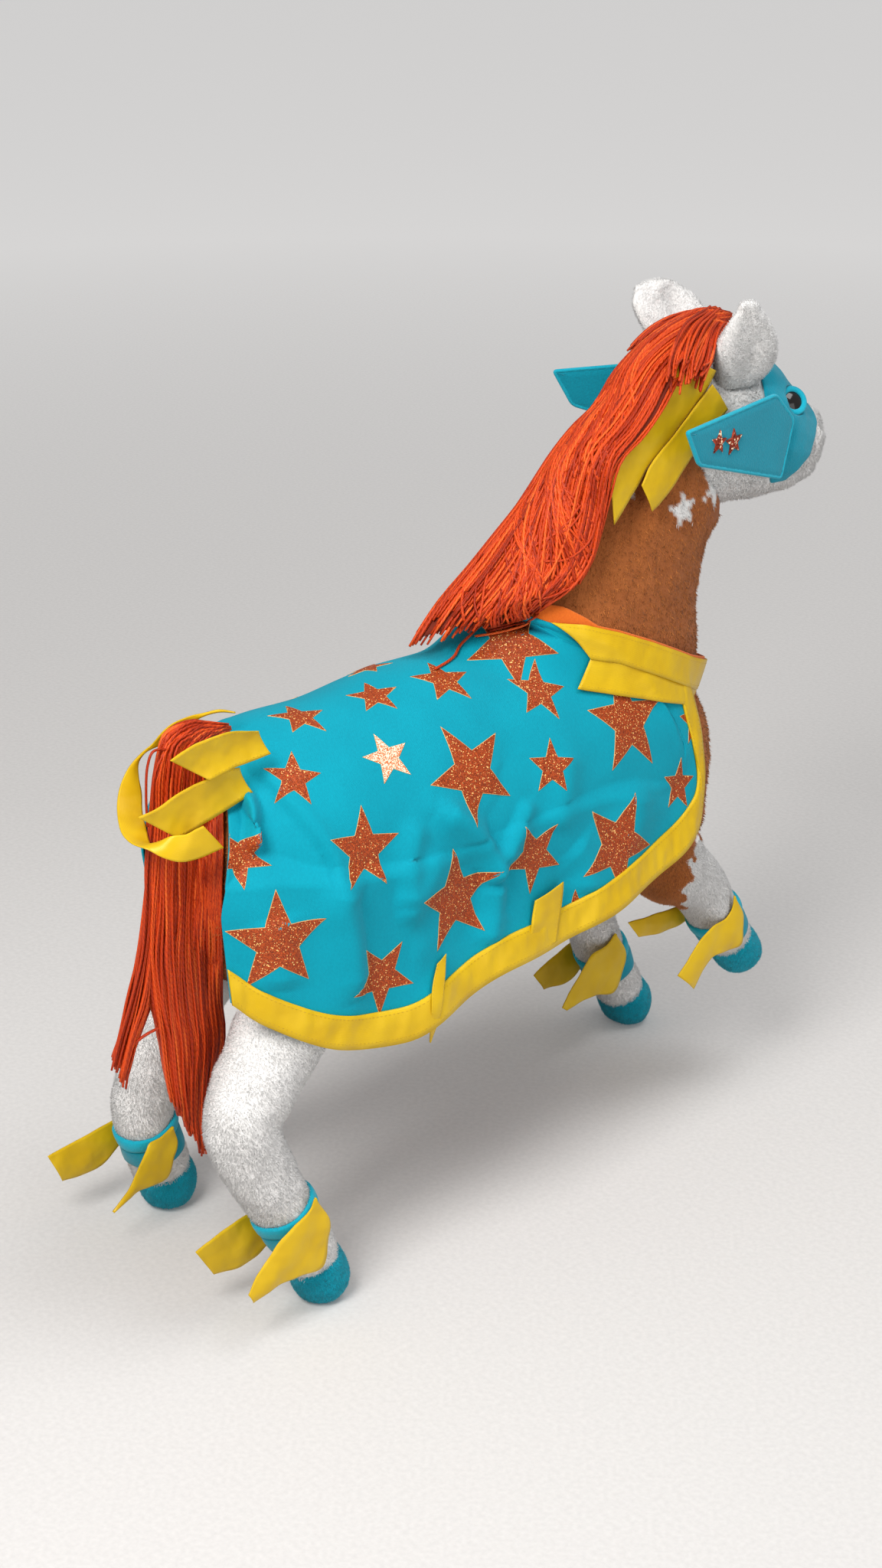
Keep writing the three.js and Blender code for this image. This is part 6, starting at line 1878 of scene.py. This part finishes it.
for _ in range(300):
    lane = rng.uniform(0, 1)
    room = math.sqrt(max(0.0, 1 - (2 * lane - 1) ** 2))
    face = -1.0 if rng.random() < 0.62 else rng.uniform(-0.8, 1.0)
    depth = 12.5 * room * face + rng.normal(0, 0.8)
    end = 1428 + 66 * lane + rng.normal(0, 10)
    tail_paths.append(tail_strand(TAIL_ROWS, lane, depth, end, rng.random()))
for _ in range(46):
    lane = rng.uniform(0, 1)
    tail_paths.append(tail_strand(WISP_ROWS, lane, rng.uniform(-9, 5),
                                  1385 + rng.uniform(-14, 1) + 55 * lane * rng.random(), rng.random()))
tail_paths.append(seen([(207, 1343), (190, 1352), (172, 1366), (165, 1372)], [-26.0, -24, -20, -16]))
tail_paths.append(seen([(222, 978), (200, 982), (193, 1000), (191, 1040), (193, 1080)], -22.0))
tail = strands("tail_yarn", tail_paths, 0.85, 5, 154, 38)
dress(tail, YARN, "tail")
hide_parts("tail")

# Ribbon round the tail, and its two strips, by their edges in the photo
LOOP_OUT = [
    (307, 929.5), (287, 926.5), (265, 931.5), (246, 936), (224, 946), (209, 960), (199, 971.5), (183.5, 984),
    (169.5, 1000), (159, 1020.5), (153.5, 1042), (153.5, 1066.5), (159, 1088.5), (172, 1102), (193, 1110), (212, 1120),
    (234, 1125.5), (260.5, 1121), (292, 1107)]
LOOP_IN = [
    (307, 931.5), (287, 930.5), (265, 936.5), (253.5, 943.5), (242.5, 957.5), (232.5, 969), (213, 973), (193, 980),
    (181, 995), (180.5, 1016), (185, 1035), (186, 1059.5), (190, 1079), (196.5, 1102.5), (207, 1099.5), (224, 1092),
    (243.5, 1089.5), (256, 1083), (266, 1079)]
LOOP_X = [-12, -9, -6, -2, 2, 5, 8, 10, 10, 8, 3, -6, -18, -30, -40, -47, -51, -53, -54]
TAIL_STRIPS = {
    "upper": ([(222, 993.5), (246, 977), (275, 963.5), (302, 955.5), (337, 954.5)],
              [(274, 1019.5), (294.5, 1009.5), (314, 1000), (333, 992.5), (353, 984)], -48),
    "lower": ([(180.5, 1068), (209.5, 1053.5), (241, 1032.5), (265.5, 1019.5), (290, 1007), (312.5, 1002.5)],
              [(232, 1095), (256, 1083.5), (280, 1068), (304, 1053.5), (317, 1045), (331, 1035)], -45),
}
satin("tail_satin_loop", seen(LOOP_OUT, LOOP_X), seen(LOOP_IN, LOOP_X), "tail", ["tail_ribbon_loop"], ripple=0.4,
      bow=0.6, seed=161, sewn=False)
for label, (first, second, x) in TAIL_STRIPS.items():
    satin("tail_satin_" + label, laid(first, x, rug_tree, 2.0), laid(second, x, rug_tree, 2.0), "body",
          ["tail_ribbon_" + label], ripple=0.9, bow=1.6, seed=162)

# Ribbons that fall from the mane
MANE_RIBBONS = {
    "rear": ([(890, 462), (876, 495), (859.5, 530.5), (839, 562.5), (816, 587), (793.5, 608.5)],
             [(935, 484), (921.5, 511), (903, 537.5), (878, 572), (852.5, 604), (802, 685.5)], -43.5),
    "front": ([(930.5, 502), (921, 514), (903, 537.5), (878, 571.5), (853, 603.5), (838, 634)],
              [(951.5, 535), (944.5, 543), (924, 570), (903.5, 597), (869, 650), (851.5, 668)], -46),
}
for label, (first, second, x) in MANE_RIBBONS.items():
    satin("mane_satin_" + label, laid(first, x, neck_tree, 1.2), laid(second, x, neck_tree, 1.2), "body",
          ["mane_ribbon_" + label], ripple=0.5, bow=0.5, seed=171)

# Forelock: yarn over the poll between the ears
FORELOCK = np.array([[*head_point(0, f * HEAD_LENGTH, u * HEAD_DEPTH), w * HEAD_WIDTH, d * HEAD_DEPTH]
                     for f, u, w, d in [[-0.3, 0.92, 0.22, 0.1], [-0.12, 1.02, 0.26, 0.11],
                                        [0.08, 1.07, 0.25, 0.11], [0.22, 1.05, 0.18, 0.1]]])
lock_line = spline(FORELOCK[:, :3])
lock_size = spline(np.c_[FORELOCK[:, 3:5], np.zeros(4)], "uniform")
rng = np.random.default_rng(181)
lock_paths = []
for k in range(110):
    angle = math.radians(-200 + 220 * (k + rng.uniform(-0.4, 0.4)) / 110)
    t = np.linspace(rng.uniform(0.0, 0.1), rng.uniform(0.85, 1.0), 8)
    middle, half, along = lock_line(t), lock_size(t), along_of(lock_line, t)
    up = unit(np.cross(ACROSS, along))
    r = rng.uniform(0.78, 1.05)
    drift = angle + 0.1 * np.sin(t * 6 + rng.uniform(0, 6))
    lock_paths.append(middle + (np.cos(drift) * half[:, 0] * r)[:, None] * ACROSS
                      + up * (np.sin(drift) * half[:, 1] * r)[:, None])
lock = strands("forelock_yarn", lock_paths, 0.88, 5, 182, 22)
dress(lock, YARN, "head")
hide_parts("forelock")

# Wires inside
for n in ("spine_wire", *["leg_wire_" + k for k in LEGS]):
    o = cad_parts[n]
    o.data.materials.clear()
    o.data.materials.append(STEEL)

low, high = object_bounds()
